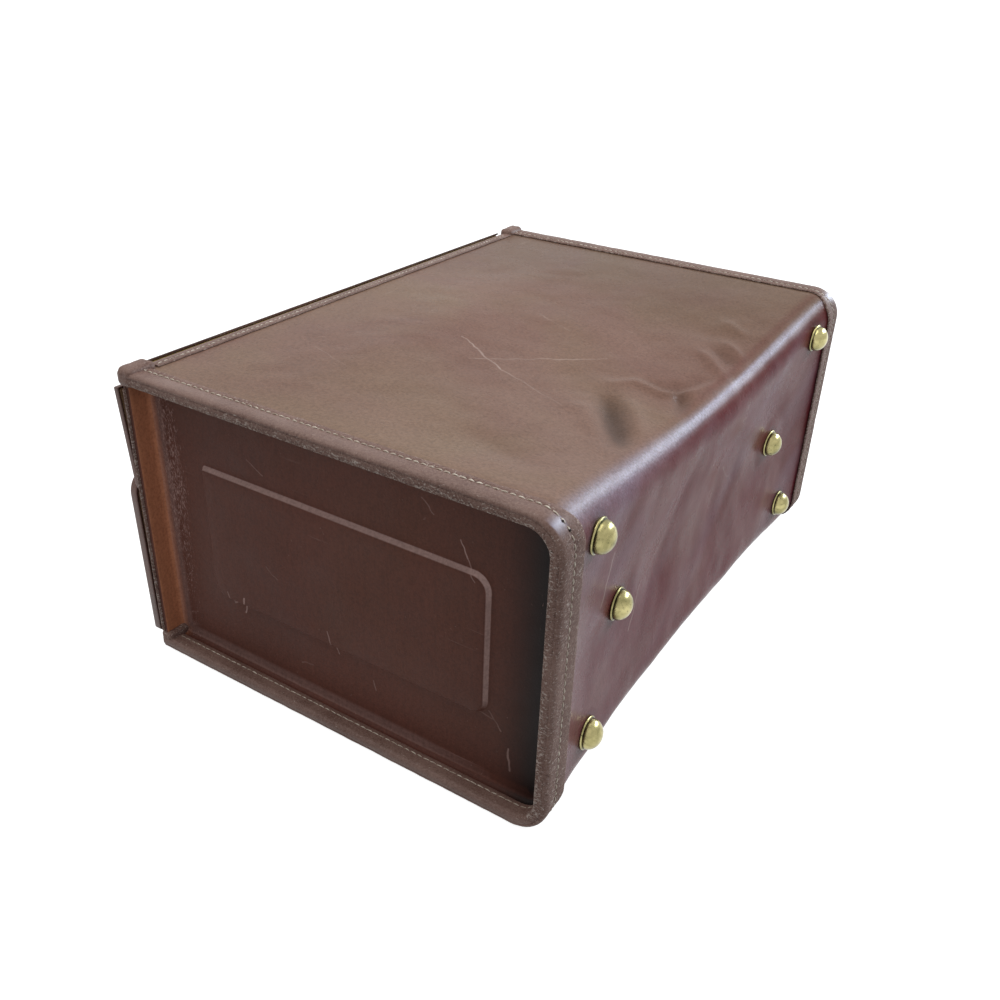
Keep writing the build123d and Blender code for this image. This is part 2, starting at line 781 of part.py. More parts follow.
# Handle: padded grip hanging from two brackets on the lid, sketched with X along the case and Y down
handle_level = lid_length - handle_edge_inset
handle_place = lid_frame.from_local_coords(Vector(0, handle_level, lid_outside + pivot_rise))
handle_frame = Plane(origin=handle_place, x_dir=(0, 1, 0), z_dir=lid_out)
near_pivot = handle_frame.from_local_coords(Vector(-handle_span / 2, 0, 0))
eye_width = ear_gap - 2 * slide_gap

with BuildPart() as handle_grip:
    with BuildLine(handle_frame):
        grip_line = FilletPolyline(
            (-handle_span / 2, handle_end_length),
            (-handle_span / 2, handle_drop),
            (handle_span / 2, handle_drop),
            (handle_span / 2, handle_end_length),
            radius=grip_bend_radius,
        )
    with BuildSketch(Plane(origin=grip_line @ 0, x_dir=(0, 1, 0), z_dir=grip_line % 0)):
        RectangleRounded(grip_width, grip_thick, grip_edge_radius)
    sweep()

with BuildPart() as handle_end_near:
    with BuildSketch(Plane(origin=near_pivot, x_dir=(-lid_along), z_dir=(0, 1, 0))):
        Circle(handle_eye_radius)
        with Locations((handle_end_start / 2, 0)):
            Rectangle(handle_end_start, 2 * handle_eye_radius)
        Circle(handle_pin_radius + pin_clearance, mode=Mode.SUBTRACT)
    extrude(amount=eye_width / 2, both=True)
    with BuildSketch(Plane(origin=near_pivot - lid_along * handle_end_start, x_dir=(0, 1, 0), z_dir=-lid_along)):
        Circle(handle_end_radius)
    extrude(amount=handle_end_length - handle_end_start - seam_gap)
    chamfer(edges().group_by(Axis(near_pivot, -lid_along))[-1], length=handle_end_bevel)

with BuildPart() as handle_bracket_near:
    with BuildSketch(lid_frame.offset(lid_outside)):
        with Locations((handle_span / 2, handle_level)):
            RectangleRounded(ear_gap + 2 * ear_thick + bracket_height / 2, bracket_height, ear_radius)
    extrude(amount=bracket_base)
    for ear_side in (-1, 1):
        ear_middle = near_pivot + Vector(0, ear_side * (ear_gap + ear_thick) / 2, 0)
        with BuildSketch(Plane(origin=ear_middle, x_dir=-lid_out, z_dir=(0, 1, 0))):
            Circle(ear_radius)
            ear_foot = pivot_rise - bracket_base
            with Locations((ear_foot / 2, 0)):
                Rectangle(ear_foot, 2 * ear_radius)
            Circle(handle_pin_radius + pin_clearance, mode=Mode.SUBTRACT)
        extrude(amount=ear_thick / 2, both=True)

with BuildPart() as handle_pin_near:
    pin_reach = ear_gap / 2 + ear_thick
    with BuildSketch(Plane(origin=near_pivot, z_dir=(0, 1, 0))):
        Circle(handle_pin_radius)
    extrude(amount=pin_reach, both=True)
    for pin_side in (-1, 1):
        head_place = near_pivot + Vector(0, pin_side * pin_reach, 0)
        with BuildSketch(Plane(origin=head_place, z_dir=(0, pin_side, 0))):
            Circle(handle_pin_head_radius)
        extrude(amount=handle_pin_head)

with BuildPart() as handle_end_far:
    mirror(handle_end_near.part, about=Plane.XZ)

with BuildPart() as handle_bracket_far:
    mirror(handle_bracket_near.part, about=Plane.XZ)

with BuildPart() as handle_pin_far:
    mirror(handle_pin_near.part, about=Plane.XZ)

# Named sub-parts
pieces = {
    "body_wrap": body_wrap,
    "body_lining": body_lining,
    "foot_burrs": foot_burrs,
    "end_panel_near": end_panel_near,
    "end_panel_far": end_panel_far,
    "end_lining_near": end_lining_near,
    "end_lining_far": end_lining_far,
    "edge_strip_near": edge_strip_near,
    "edge_strip_far": edge_strip_far,
    "mouth_strip_near": mouth_strip_near,
    "mouth_strip_far": mouth_strip_far,
    "back_hem": back_hem,
    "front_hem": front_hem,
    "back_rail": back_rail,
    "front_rail": front_rail,
    "lid_hinge_body_leaf": lid_hinge_body_leaf,
    "lid_hinge_lid_leaf": lid_hinge_lid_leaf,
    "lid_hinge_pin": lid_hinge_pin,
    "flap_hinge_body_leaf": flap_hinge_body_leaf,
    "flap_hinge_flap_leaf": flap_hinge_flap_leaf,
    "flap_hinge_pin": flap_hinge_pin,
    "lid_cover": lid_cover,
    "lid_board": lid_board,
    "lid_lining": lid_lining,
    "flap_cover": flap_cover,
    "flap_board": flap_board,
    "flap_lining": flap_lining,
    "lock_body_near": lock_body_near,
    "lock_body_far": lock_body_far,
    "lock_slide_near": lock_slide_near,
    "lock_slide_far": lock_slide_far,
    "hasp_base_near": hasp_base_near,
    "hasp_base_far": hasp_base_far,
    "hasp_plate_near": hasp_plate_near,
    "hasp_plate_far": hasp_plate_far,
    "hasp_pin_near": hasp_pin_near,
    "hasp_pin_far": hasp_pin_far,
    "handle_grip": handle_grip,
    "handle_end_near": handle_end_near,
    "handle_end_far": handle_end_far,
    "handle_bracket_near": handle_bracket_near,
    "handle_bracket_far": handle_bracket_far,
    "handle_pin_near": handle_pin_near,
    "handle_pin_far": handle_pin_far,
}
pieces.update(feet)

for name, piece in pieces.items():
    piece.part.label = name
    export_step(piece.part, f"parts/{name}.step")
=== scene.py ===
import math
import random

import bpy
from mathutils import Matrix, Vector, noise


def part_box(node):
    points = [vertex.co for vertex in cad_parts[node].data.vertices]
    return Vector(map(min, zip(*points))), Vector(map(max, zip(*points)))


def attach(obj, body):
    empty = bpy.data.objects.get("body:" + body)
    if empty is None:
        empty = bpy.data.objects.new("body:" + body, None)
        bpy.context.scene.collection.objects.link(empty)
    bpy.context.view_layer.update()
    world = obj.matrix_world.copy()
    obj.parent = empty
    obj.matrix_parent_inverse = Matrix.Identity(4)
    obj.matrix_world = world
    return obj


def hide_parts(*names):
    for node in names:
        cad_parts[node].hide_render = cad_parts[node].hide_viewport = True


# Old leather briefcase lying on its front face. Sizes below are in millimetres:
# X from the middle of the case's height to the footed bottom, Y along the case, Z up.
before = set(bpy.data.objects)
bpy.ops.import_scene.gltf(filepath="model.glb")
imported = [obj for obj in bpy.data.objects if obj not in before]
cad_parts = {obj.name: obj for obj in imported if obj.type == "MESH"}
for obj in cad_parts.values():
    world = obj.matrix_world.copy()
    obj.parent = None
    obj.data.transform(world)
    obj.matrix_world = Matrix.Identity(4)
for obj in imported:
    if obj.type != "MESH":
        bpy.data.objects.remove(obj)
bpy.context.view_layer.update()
MM = 0.001
random.seed(7)

HEIGHT, WIDTH, DEPTH = 305.0, 454.0, 206.0
BEND = 22.0
MOUTH_X, BOTTOM_X = -HEIGHT / 2, HEIGHT / 2
NEAR_Y = -WIDTH / 2
RIM_WIDTH = 22.0
ENDS = (("near", -1), ("far", 1))
# The frame's origin lies a little off the middle of the case's height
SHIFT = Vector((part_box("edge_strip_near")[1][0] / MM - BOTTOM_X, 0, 0))


# Materials
def srgb(red, green, blue):
    """Linear colour of a screen colour."""

    def channel(value):
        value /= 255
        return value / 12.92 if value <= 0.04045 else ((value + 0.055) / 1.055) ** 2.4

    return (channel(red), channel(green), channel(blue), 1)


# Painted bluish highlight of the leather where it is bent, dirt in its pores, and painted deep shade
PAINTED_HIGHLIGHT = srgb(186, 186, 208)
PORE_DIRT = (0.012, 0.007, 0.006, 1)
DEEP_SHADE = (0.004, 0.003, 0.003, 1)


class Nodes:
    """Short calls for building a material's nodes."""

    def __init__(self, name):
        self.material = bpy.data.materials.new(name)
        self.material.use_nodes = True
        self.tree = self.material.node_tree
        self.tree.nodes.clear()
        self.out = self.tree.nodes.new("ShaderNodeOutputMaterial")
        self.where = self.tree.nodes.new("ShaderNodeTexCoord").outputs["Object"]

    def new(self, kind, **inputs):
        node = self.tree.nodes.new(kind)
        for key, value in inputs.items():
            self.put(node, key, value)
        return node

    def put(self, node, key, value):
        socket = node.inputs[key.replace("_", " ")] if isinstance(key, str) else node.inputs[key]
        if isinstance(value, bpy.types.NodeSocket):
            self.tree.links.new(value, socket)
        else:
            socket.default_value = value

    def noise(self, scale, detail=3.0, rough=0.55, warp=0.0, stretch=None, turn=(0, 0, 0)):
        where = self.where
        if stretch:
            mapping = self.new("ShaderNodeMapping", Vector=where, Scale=stretch, Rotation=turn)
            where = mapping.outputs["Vector"]
        node = self.new(
            "ShaderNodeTexNoise", Vector=where, Scale=scale, Detail=detail, Roughness=rough, Distortion=warp,
        )
        return node.outputs[0]

    def cells(self, scale):
        return self.new("ShaderNodeTexVoronoi", Vector=self.where, Scale=scale).outputs["Distance"]

    def span(self, value, low, high, to_low=0.0, to_high=1.0):
        node = self.new(
            "ShaderNodeMapRange", Value=value, From_Min=low, From_Max=high, To_Min=to_low, To_Max=to_high,
        )
        return node.outputs[0]

    def operation(self, node_kind, kind, first, second):
        node = self.tree.nodes.new(node_kind)
        node.operation = kind
        for index, value in enumerate((first, second)):
            self.put(node, index, value)
        return node

    def math(self, kind, first, second=0.0):
        return self.operation("ShaderNodeMath", kind, first, second).outputs[0]

    def vector(self, kind, first, second=(0, 0, 0), output=0):
        return self.operation("ShaderNodeVectorMath", kind, first, second).outputs[output]

    def mix(self, share, first, second):
        node = self.tree.nodes.new("ShaderNodeMix")
        node.data_type = "RGBA"
        for index, value in ((0, share), (6, first), (7, second)):
            self.put(node, index, value)
        return node.outputs[2]

    def attribute(self, name):
        node = self.tree.nodes.new("ShaderNodeAttribute")
        node.attribute_name = name
        return node.outputs["Fac"]

    def bump(self, height, distance, strength=1.0, under=None):
        node = self.new("ShaderNodeBump", Height=height, Strength=strength, Distance=distance)
        if under is not None:
            self.put(node, "Normal", under)
        return node.outputs[0]

    def wander(self, size, reach):
        """Coordinates shifted a little here and there, so that lines drawn on them aren't straight."""
        drift = self.new("ShaderNodeTexNoise", Vector=self.where, Scale=size, Detail=2.0).outputs["Color"]
        drift = self.vector("SUBTRACT", drift, (0.5, 0.5, 0.5))
        return self.vector("ADD", self.where, self.vector("MULTIPLY", drift, (reach, reach, reach)))

    def stroke(self, where, start, end, width, flat):
        """1 on a line between two places in millimetres, 0 off it; flat shrinks the face's depth."""
        start, end = [(Vector(place) + SHIFT) * MM * Vector(flat) for place in (start, end)]
        along = end - start
        step = self.vector("SUBTRACT", self.vector("MULTIPLY", where, flat), start)
        share = self.vector("DOT_PRODUCT", step, along / along.length_squared, "Value")
        clamp = self.new("ShaderNodeClamp", Value=share)
        nearest = self.operation("ShaderNodeVectorMath", "SCALE", along, (0, 0, 0))
        self.put(nearest, "Scale", clamp.outputs[0])
        away = self.vector("LENGTH", self.vector("SUBTRACT", step, nearest.outputs[0]), output="Value")
        return self.span(away, width * MM, 0.4 * width * MM)

    def shader(self, **inputs):
        node = self.new("ShaderNodeBsdfPrincipled", **inputs)
        self.tree.links.new(node.outputs[0], self.out.inputs["Surface"])
        return self.material


def leather(
    name, dark, middle, light, pale, hue=None, tint=None, rough=(0.34, 0.48), gloss=0.45, strokes=(),
):
    """Worn hide: slow change of colour, fine grain, scratches, pale wear, and painted highlight and shade
    where the mesh says so.
    """
    n = Nodes(name)
    broad = n.noise(5.0, 3.0, 0.5, 0.4)
    patch = n.noise(30.0, 4.0, 0.6, 0.3)
    fine = n.noise(520.0, 3.0, 0.6)
    dash_a = n.noise(1.0, 2.0, 0.5, 0.9, (1250, 1250, 300), (0.45, 0.5, 0.0))
    dash_b = n.noise(1.0, 2.0, 0.5, 0.9, (1100, 1100, 330), (-0.5, -0.7, 0.0))
    colour = n.mix(n.span(broad, 0.38, 0.62), dark, middle)
    colour = n.mix(n.span(patch, 0.40, 0.75, 0.0, 0.4), colour, light)
    if hue:
        colour = n.mix(n.span(n.noise(7.0, 2.0, 0.5, 0.8), 0.42, 0.64, 0.0, 0.4), colour, hue)
    if tint:
        colour = n.mix(n.attribute("tone"), colour, tint)
    # Above 0: pale wear and painted highlight; below 0: painted shade
    rub_and_painted_light = n.attribute("rub_and_painted_light")
    colour = n.mix(n.span(rub_and_painted_light, 0.0, 1.0), colour, pale)
    colour = n.mix(n.span(rub_and_painted_light, 0.0, -1.0), colour, DEEP_SHADE)
    if tint:
        # Painted bluish highlight and sheen, made grainy, where the mesh marks it
        highlight_grain = n.span(n.noise(900.0, 3.0, 0.7), 0.38, 0.62, 0.55, 1.0)
        colour = n.mix(n.math("MULTIPLY", n.attribute("painted_highlight"), highlight_grain), colour, PAINTED_HIGHLIGHT)
    grain = n.noise(1.0, 2.0, 0.6, 0.3, (520, 520, 110))
    colour = n.mix(n.span(grain, 0.35, 0.65, 0.14, 0.0), colour, PORE_DIRT)
    colour = n.mix(n.span(fine, 0.36, 0.56, 0.20, 0.0), colour, PORE_DIRT)
    scratch_a = n.noise(1.0, 2.0, 0.5, 0.0, (8, 330, 330), (0.3, 0.2, 0.5))
    scratch_b = n.noise(1.0, 2.0, 0.5, 0.0, (310, 12, 310), (0.1, 0.5, -0.7))
    scratches = n.math("MAXIMUM", n.span(scratch_a, 0.70, 0.76), n.span(scratch_b, 0.71, 0.77))
    marks = n.math("MULTIPLY", scratches, n.span(patch, 0.50, 0.70, 0.0, 0.24))
    loose = n.wander(75.0, 0.006) if strokes else None
    for start, end, width, level, flat in strokes:
        line = n.math("MULTIPLY", n.stroke(loose, start, end, width, flat), level)
        line = n.math("MULTIPLY", line, n.span(patch, 0.36, 0.56, 0.2, 1.0))
        marks = n.math("MAXIMUM", marks, line)
    worn = n.math("ADD", n.math("MAXIMUM", dash_a, dash_b), n.math("MULTIPLY", n.attribute("wear"), 0.30))
    worn = n.span(worn, 0.76, 0.88)
    colour = n.mix(n.math("MAXIMUM", marks, n.math("MULTIPLY", worn, 0.6)), colour, pale)
    pores = n.cells(1100.0)
    height = n.math("ADD", n.math("MULTIPLY", pores, 0.5), n.math("MULTIPLY", fine, 0.5))
    height = n.math("SUBTRACT", height, n.math("MULTIPLY", marks, 0.6))
    normal = n.bump(height, 0.00018, 0.8, n.bump(patch, 0.0007, 0.3))
    roughness = n.span(patch, 0.35, 0.7, rough[0], rough[1])
    roughness = n.math("ADD", roughness, n.math("MULTIPLY", worn, 0.3))
    return n.shader(Base_Color=colour, Roughness=roughness, Normal=normal, Specular_IOR_Level=gloss)


def raw_edge(name, dark, middle, light, pale):
    """Rubbed strip leather: brown face broken by pale fibres where the mesh says that it is worn, and a
    painted highlight where it says so.
    """
    n = Nodes(name)
    wear = n.attribute("wear")
    broad = n.noise(24.0, 4.0, 0.6, 0.5)
    fuzz = n.noise(850.0, 3.0, 0.65, 0.8)
    hairs_a = n.noise(1.0, 3.0, 0.6, 0.5, (900, 300, 900), (0.5, 0.2, 0.7))
    hairs_b = n.noise(1.0, 3.0, 0.6, 0.5, (320, 900, 800), (0.2, 0.6, -0.5))
    colour = n.mix(n.span(broad, 0.35, 0.65), dark, middle)
    colour = n.mix(n.span(fuzz, 0.42, 0.66, 0.0, 0.6), colour, light)
    hairs = n.math("MAXIMUM", hairs_a, hairs_b)
    fibre = n.span(n.math("ADD", hairs, n.math("MULTIPLY", wear, 0.24)), 0.73, 0.85, 0.0, 0.7)
    colour = n.mix(fibre, colour, pale)
    pits = n.math("MULTIPLY", n.span(fuzz, 0.44, 0.32), n.span(wear, 0.1, 0.8, 0.1, 0.8))
    colour = n.mix(pits, colour, (0.020, 0.011, 0.009, 1))
    # Painted bluish highlight where the strip bends over the rim
    colour = n.mix(n.attribute("painted_highlight"), colour, PAINTED_HIGHLIGHT)
    height = n.math("MULTIPLY", n.math("ADD", fuzz, hairs), n.span(wear, 0.0, 0.9, 0.15, 1.0))
    normal = n.bump(height, 0.0006, 0.8, n.bump(broad, 0.0015, 0.3))
    roughness = n.span(wear, 0.0, 0.8, 0.36, 0.85)
    return n.shader(Base_Color=colour, Roughness=roughness, Normal=normal, Specular_IOR_Level=0.25)


def thread(name, colour, dark):
    """Waxed thread with its twist and some dirt."""
    n = Nodes(name)
    dirt_and_painted_shade = n.noise(260.0, 3.0, 0.6)
    twist = n.noise(1.0, 1.0, 0.5, 0.0, (2600, 2600, 900), (0.6, 0.5, 0.3))
    base = n.mix(n.span(dirt_and_painted_shade, 0.38, 0.66), dark, colour)
    return n.shader(Base_Color=base, Roughness=0.75, Normal=n.bump(twist, 0.0003, 0.8))


def metal(name, bright, dull, stain_and_painted_shade, rough=(0.16, 0.42), spot=0.5):
    """Old plated metal: bright crown, dull patches, stains in spots, and tarnish and painted shade where the
    mesh's tone says so.
    """
    n = Nodes(name)
    cloud = n.noise(75.0, 4.0, 0.6, 0.5)
    spots = n.noise(520.0, 3.0, 0.65)
    brush = n.noise(1.0, 2.0, 0.5, 0.0, (1800, 220, 1800))
    colour = n.mix(n.span(cloud, 0.40, 0.66), bright, dull)
    blotches = n.span(n.noise(260.0, 4.0, 0.65), 0.34, 0.58, 0.35, 1.0)
    tarnish_and_painted_shade = n.math("MULTIPLY", n.attribute("tone"), blotches)
    colour = n.mix(n.math("MAXIMUM", tarnish_and_painted_shade, n.span(spots, 0.60, 0.74, 0.0, spot)), colour, stain_and_painted_shade)
    roughness = n.span(cloud, 0.34, 0.70, rough[0], rough[1])
    roughness = n.math("ADD", roughness, n.span(spots, 0.58, 0.74, 0.0, 0.2))
    normal = n.bump(brush, 0.00006, 0.6, n.bump(cloud, 0.0005, 0.25))
    return n.shader(Base_Color=colour, Roughness=roughness, Normal=normal, Metallic=1.0)


def board(name):
    """Grey-brown fibre board."""
    n = Nodes(name)
    flecks = n.noise(600.0, 4.0, 0.7, 0.8)
    colour = n.mix(n.span(flecks, 0.35, 0.65), srgb(88, 70, 50), srgb(142, 120, 92))
    return n.shader(Base_Color=colour, Roughness=0.9, Normal=n.bump(flecks, 0.0004, 0.7))


def suede(name, dark, middle, light):
    """Thin split leather of the lining, with its nap and stains."""
    n = Nodes(name)
    broad = n.noise(11.0, 5.0, 0.6, 0.4)
    nap = n.noise(1400.0, 3.0, 0.7)
    colour = n.mix(n.span(broad, 0.34, 0.66), dark, middle)
    colour = n.mix(n.span(nap, 0.45, 0.7, 0.0, 0.6), colour, light)
    normal = n.bump(nap, 0.0002, 0.9, n.bump(broad, 0.002, 0.3))
    return n.shader(Base_Color=colour, Roughness=0.92, Normal=normal, Specular_IOR_Level=0.25)


# Scratches that the case shows on its back face, bottom and near end: both ends as coordinates
# in the face, width and strength
BACK_MARKS = [
    ((-36, -37), (13, -64), 0.9, 0.45), ((13, -64), (68, -82), 0.7, 0.30), ((-11, -65), (54, 7), 0.8, 0.28),
    ((-20, 40), (12, 30), 0.6, 0.22), ((-96, -120), (-60, -132), 0.6, 0.20),
]
BOTTOM_MARKS = [
    ((-150, 150), (-160, 118), 1.0, 0.40), ((-96, 96), (-110, 70), 0.9, 0.35),
    ((40, 120), (62, 100), 0.8, 0.30),
]
END_MARKS = [
    ((-99, 62), (-97, 52), 0.9, 0.8), ((-97, 52), (-92, 56), 0.7, 0.7), ((-88, 49), (-83, 62), 0.9, 0.9),
    ((-13, 67), (-7, 50), 0.8, 0.6), ((84, 166), (89, 156), 0.9, 0.8), ((89, 156), (94, 146), 0.7, 0.7),
    ((92, 58), (106, 55), 0.9, 0.5), ((104, 60), (112, 48), 0.8, 0.5), ((118, 38), (119, 22), 1.1, 0.5),
    ((58, 184), (66, 176), 0.7, 0.4), ((-60, 96), (-52, 90), 0.7, 0.35), ((20, 42), (22, 34), 0.7, 0.5),
    ((-72, 166), (-60, 160), 0.7, 0.4), ((-40, 28), (-30, 30), 0.7, 0.3),
]


def on_face(marks, place, flat, wide=1.0, strong=1.0):
    """Scratches laid on a face: place turns coordinates in the face into a place in the case."""
    return [(place(*a), place(*b), wide * width, strong * level, flat) for a, b, width, level in marks]


BODY_MARKS = on_face(BACK_MARKS, lambda x, y: (x, y, DEPTH - 14), (1, 1, 0.02))
BODY_MARKS += on_face(BOTTOM_MARKS, lambda y, z: (BOTTOM_X - 8, y, z), (0.02, 1, 1))
PANEL_MARKS = on_face(END_MARKS, lambda x, z: (x, NEAR_Y + 15, z), (1, 0.1, 1), 0.85, 0.7)
BODY = leather(
    "body_hide", srgb(120, 91, 79), srgb(131, 104, 90), srgb(139, 112, 98), srgb(188, 168, 158),
    srgb(126, 106, 82), srgb(98, 32, 38), (0.24, 0.34), 0.05, BODY_MARKS,
)
PANEL = leather(
    "panel_hide", srgb(82, 47, 38), srgb(92, 54, 44), srgb(100, 63, 53), srgb(180, 148, 140),
    srgb(84, 53, 41), srgb(182, 118, 86), (0.50, 0.62), 0.12, PANEL_MARKS,
)
LID = leather(
    "lid_hide", srgb(72, 46, 38), srgb(92, 60, 50), srgb(112, 78, 66), srgb(166, 142, 126),
    rough=(0.36, 0.5),
)
GRIP = leather(
    "grip_hide", srgb(48, 31, 26), srgb(62, 40, 33), srgb(80, 53, 43), srgb(132, 104, 86),
    rough=(0.26, 0.4),
)
STRIP = raw_edge("strip_hide", srgb(90, 64, 56), srgb(113, 87, 78), srgb(134, 110, 99), srgb(196, 182, 172))
THREAD = thread("thread", srgb(214, 202, 186), srgb(142, 124, 108))
BRASS = metal("brass", srgb(184, 174, 124), srgb(128, 122, 82), srgb(36, 44, 30), (0.16, 0.36), 0.9)
NAIL_HEAD = metal("nail_head", srgb(70, 66, 64), srgb(46, 42, 42), srgb(60, 40, 30), (0.4, 0.6))
LOCK_BRASS = metal("lock_brass", srgb(196, 170, 96), srgb(150, 124, 62), srgb(84, 70, 40), rough=(0.24, 0.5))
STEEL = metal("steel", srgb(150, 146, 140), srgb(104, 100, 96), srgb(82, 56, 40), rough=(0.3, 0.6))
BOARD = board("fibre_board")
LINING = suede("lining_split", srgb(112, 84, 60), srgb(144, 112, 82), srgb(176, 144, 110))


# Mesh helpers
def fbm(x, y, z, scale, octaves=3):
    """Smooth noise of several sizes, about -1 to 1, at a place in millimetres."""
    total, size, level = 0.0, scale, 1.0
    for _ in range(octaves):
        total += level * noise.noise(Vector((x / size, y / size, z / size)))
        size *= 0.5
        level *= 0.5
    return total


def smooth(value, low, high):
    """0 below low, 1 above high, with a soft step between."""
    share = min(max((value - low) / (high - low), 0.0), 1.0)
    return share * share * (3 - 2 * share)


def build(name, points, faces, material, body, replaced=(), attributes=None, keep_sharp=None):
    """Mesh piece from points in millimetres, riding on a body."""
    mesh = bpy.data.meshes.new(name)
    mesh.from_pydata([(Vector(p) + SHIFT) * MM for p in points], [], faces)
    mesh.update()
    for key, values in (attributes or {}).items():
        layer = mesh.attributes.new(key, "FLOAT", "POINT")
        layer.data.foreach_set("value", values)
    mesh.polygons.foreach_set("use_smooth", [True] * len(mesh.polygons))
    if keep_sharp:
        mesh.set_sharp_from_angle(angle=math.radians(keep_sharp))
    piece = bpy.data.objects.new(name, mesh)
    bpy.context.scene.collection.objects.link(piece)
    mesh.materials.append(material)
    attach(piece, body)
    if replaced:
        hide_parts(*replaced)
    return piece


def grid_faces(rows, columns, wrap=False, flip=False):
    """Quads between rows of points; wrap joins the end of each row to its start."""
    faces = []
    for i in range(rows - 1):
        for j in range(columns if wrap else columns - 1):
            m = (j + 1) % columns
            quad = (i * columns + j, i * columns + m, (i + 1) * columns + m, (i + 1) * columns + j)
            faces.append(quad[::-1] if flip else quad)
    return faces


def closed_faces(rows, columns, flip=False, flip_ends=False):
    """Faces of a closed skin: quads between rows that run round, and one face over each end."""
    first, last = list(range(columns)), [(rows - 1) * columns + i for i in range(columns)]
    ends = [first[::-1], last] if flip_ends else [first, last[::-1]]
    return grid_faces(rows, columns, True, flip) + ends


def thicken(piece, thickness):
    """Gives a skin its thickness in millimetres, on its inner side."""
    solid = piece.modifiers.new("thick", "SOLIDIFY")
    solid.thickness = thickness * MM
    solid.offset = -1.0


def arc(before, corner, after, radius, steps):
    """Points round one corner of a line."""
    first = (before - corner).normalized()
    second = (after - corner).normalized()
    opening = first.angle(second)
    turn = math.pi - opening
    if turn < 1e-3:
        return [corner.copy() for _ in range(steps + 1)]
    reach = radius / math.tan(opening / 2)
    start, end = corner + first * reach, corner + second * reach
    centre = corner + (first + second).normalized() * (radius / math.sin(opening / 2))
    from_centre, to_end = start - centre, end - centre
    points = []
    for step in range(steps + 1):
        share = step / steps
        points.append(
            centre
            + (from_centre * math.sin((1 - share) * turn) + to_end * math.sin(share * turn)) / math.sin(turn)
        )
    return points


def rounded(corners, radii, arc_steps, run_steps):
    """Line through corners with rounded turns, always with the same number of points."""
    arcs = [
        arc(corners[i], corners[i + 1], corners[i + 2], radii[i], arc_steps[i]) for i in range(len(radii))
    ]
    stops = [corners[0]] + [p for bend in arcs for p in (bend[0], bend[-1])] + [corners[-1]]
    points = []
    for i, count in enumerate(run_steps):
        low, high = stops[2 * i], stops[2 * i + 1]
        for step in range(count + (1 if i == len(run_steps) - 1 else 0)):
            points.append(low.lerp(high, step / count))
        if i < len(arcs):
            points.extend(arcs[i][:-1])
    return points


def normals(points):
    """Left-hand normals along a line."""
    out = []
    for i in range(len(points)):
        ahead = points[min(i + 1, len(points) - 1)] - points[max(i - 1, 0)]
        out.append(Vector((-ahead.y, ahead.x)).normalized() if ahead.length > 1e-9 else Vector((0, 1)))
    return out


# Hide: back face, bottom and front face in one piece
def along_line(x, y, line, width):
    """Share of a crease's height at a place, with its tapering ends."""
    best, place = 1e9, 0.0
    total = sum((line[i + 1] - line[i]).length for i in range(len(line) - 1))
    run = 0.0
    here = Vector((x, y))
    for i in range(len(line) - 1):
        step = line[i + 1] - line[i]
        share = min(max((here - line[i]).dot(step) / step.length_squared, 0), 1)
        away = (here - line[i] - step * share).length
        if away < best:
            best, place = away, (run + share * step.length) / total
        run += step.length
    return math.exp(-((best / width) ** 2)) * math.sin(math.pi * min(max(place, 0.02), 0.98)) ** 0.7


# Creases on the back face: line, width and height, all in millimetres
CREASES = [
    ([(80, -40), (96, -66), (112, -90), (126, -112)], 7.5, -5.0),
    ([(74, -66), (90, -88), (104, -110)], 8.0, 1.8),
    ([(92, -36), (110, -62), (124, -86)], 6.0, 2.2),
    ([(70, -30), (86, -10), (106, -14), (120, 4), (128, 30), (130, 50)], 5.0, 2.2),
    ([(84, -2), (104, -4), (116, 14), (122, 36)], 5.0, -1.6),
    ([(108, 6), (122, -16), (130, -40)], 5.0, -3.0),
    ([(96, 70), (110, 58), (122, 46), (130, 36)], 4.0, 2.4),
    ([(104, 96), (118, 84), (130, 72)], 3.6, 2.2),
    ([(102, 82), (116, 70), (128, 58)], 4.0, -2.0),
    ([(90, 128), (104, 118), (118, 110)], 5.0, 1.4),
    ([(60, 110), (92, 100), (118, 104)], 12.0, -1.0),
    ([(40, -150), (80, -168), (116, -176)], 12.0, -1.2),
]
CREASES = [([Vector(p) for p in line], width, height) for line, width, height in CREASES]
# Soft diagonal folds on the bottom: line as (y, z)
FOLDS = [
    ([(-60, 170), (-96, 130), (-112, 84)], 16.0, 1.1),
    ([(-14, 168), (-52, 124), (-90, 70)], 10.0, -1.3),
    ([(24, 160), (-10, 118), (-50, 40)], 20.0, 1.5),
    ([(70, 164), (34, 126), (22, 66)], 12.0, -1.2),
    ([(92, 140), (80, 100), (50, 64)], 17.0, 1.5),
    ([(150, 150), (124, 110), (112, 80)], 15.0, -1.4),
]
FOLDS = [([Vector(p) for p in line], width, height) for line, width, height in FOLDS]
# Places of the feet on the bottom as (y, z)
FEET = [(side * y, z) for side in (-1, 1) for y, z in ((183, 178), (133, 104), (170, 35))]
# How far the back face sags, and the bottom and the bends bow in, halfway along the case
SAG, BOW, BEND_BOW = 22.0, 15.5, 6.0


def hide_shape(y):
    """Sag of the back face, bow of the bottom and bow of the bends at one place along the case."""
    share = (y - NEAR_Y - RIM_WIDTH) / (WIDTH - 2 * RIM_WIDTH)
    wave = math.sin(math.pi * min(max(share, 0), 1))
    soft = wave**0.6 if wave > 1e-6 else 0.0
    return SAG * wave, BOW * soft, BEND_BOW * soft


def hide_line(y, depth, start_x):
    """Section of the hide at one place along the case, from the mouth over the back face."""
    sag, bow, bend = hide_shape(y)
    top, back = DEPTH - depth, BOTTOM_X - depth
    corners = [
        Vector((start_x, top)), Vector((MOUTH_X + 90, top)), Vector((back - bend, top - sag)),
        Vector((back - bow, DEPTH / 2)), Vector((back - bend, depth)), Vector((start_x, depth)),
    ]
    radii = [300.0, BEND - depth, 200.0, BEND - depth]
    return rounded(corners, radii, (6, 12, 8, 10), (28, 66, 18, 18, 60))


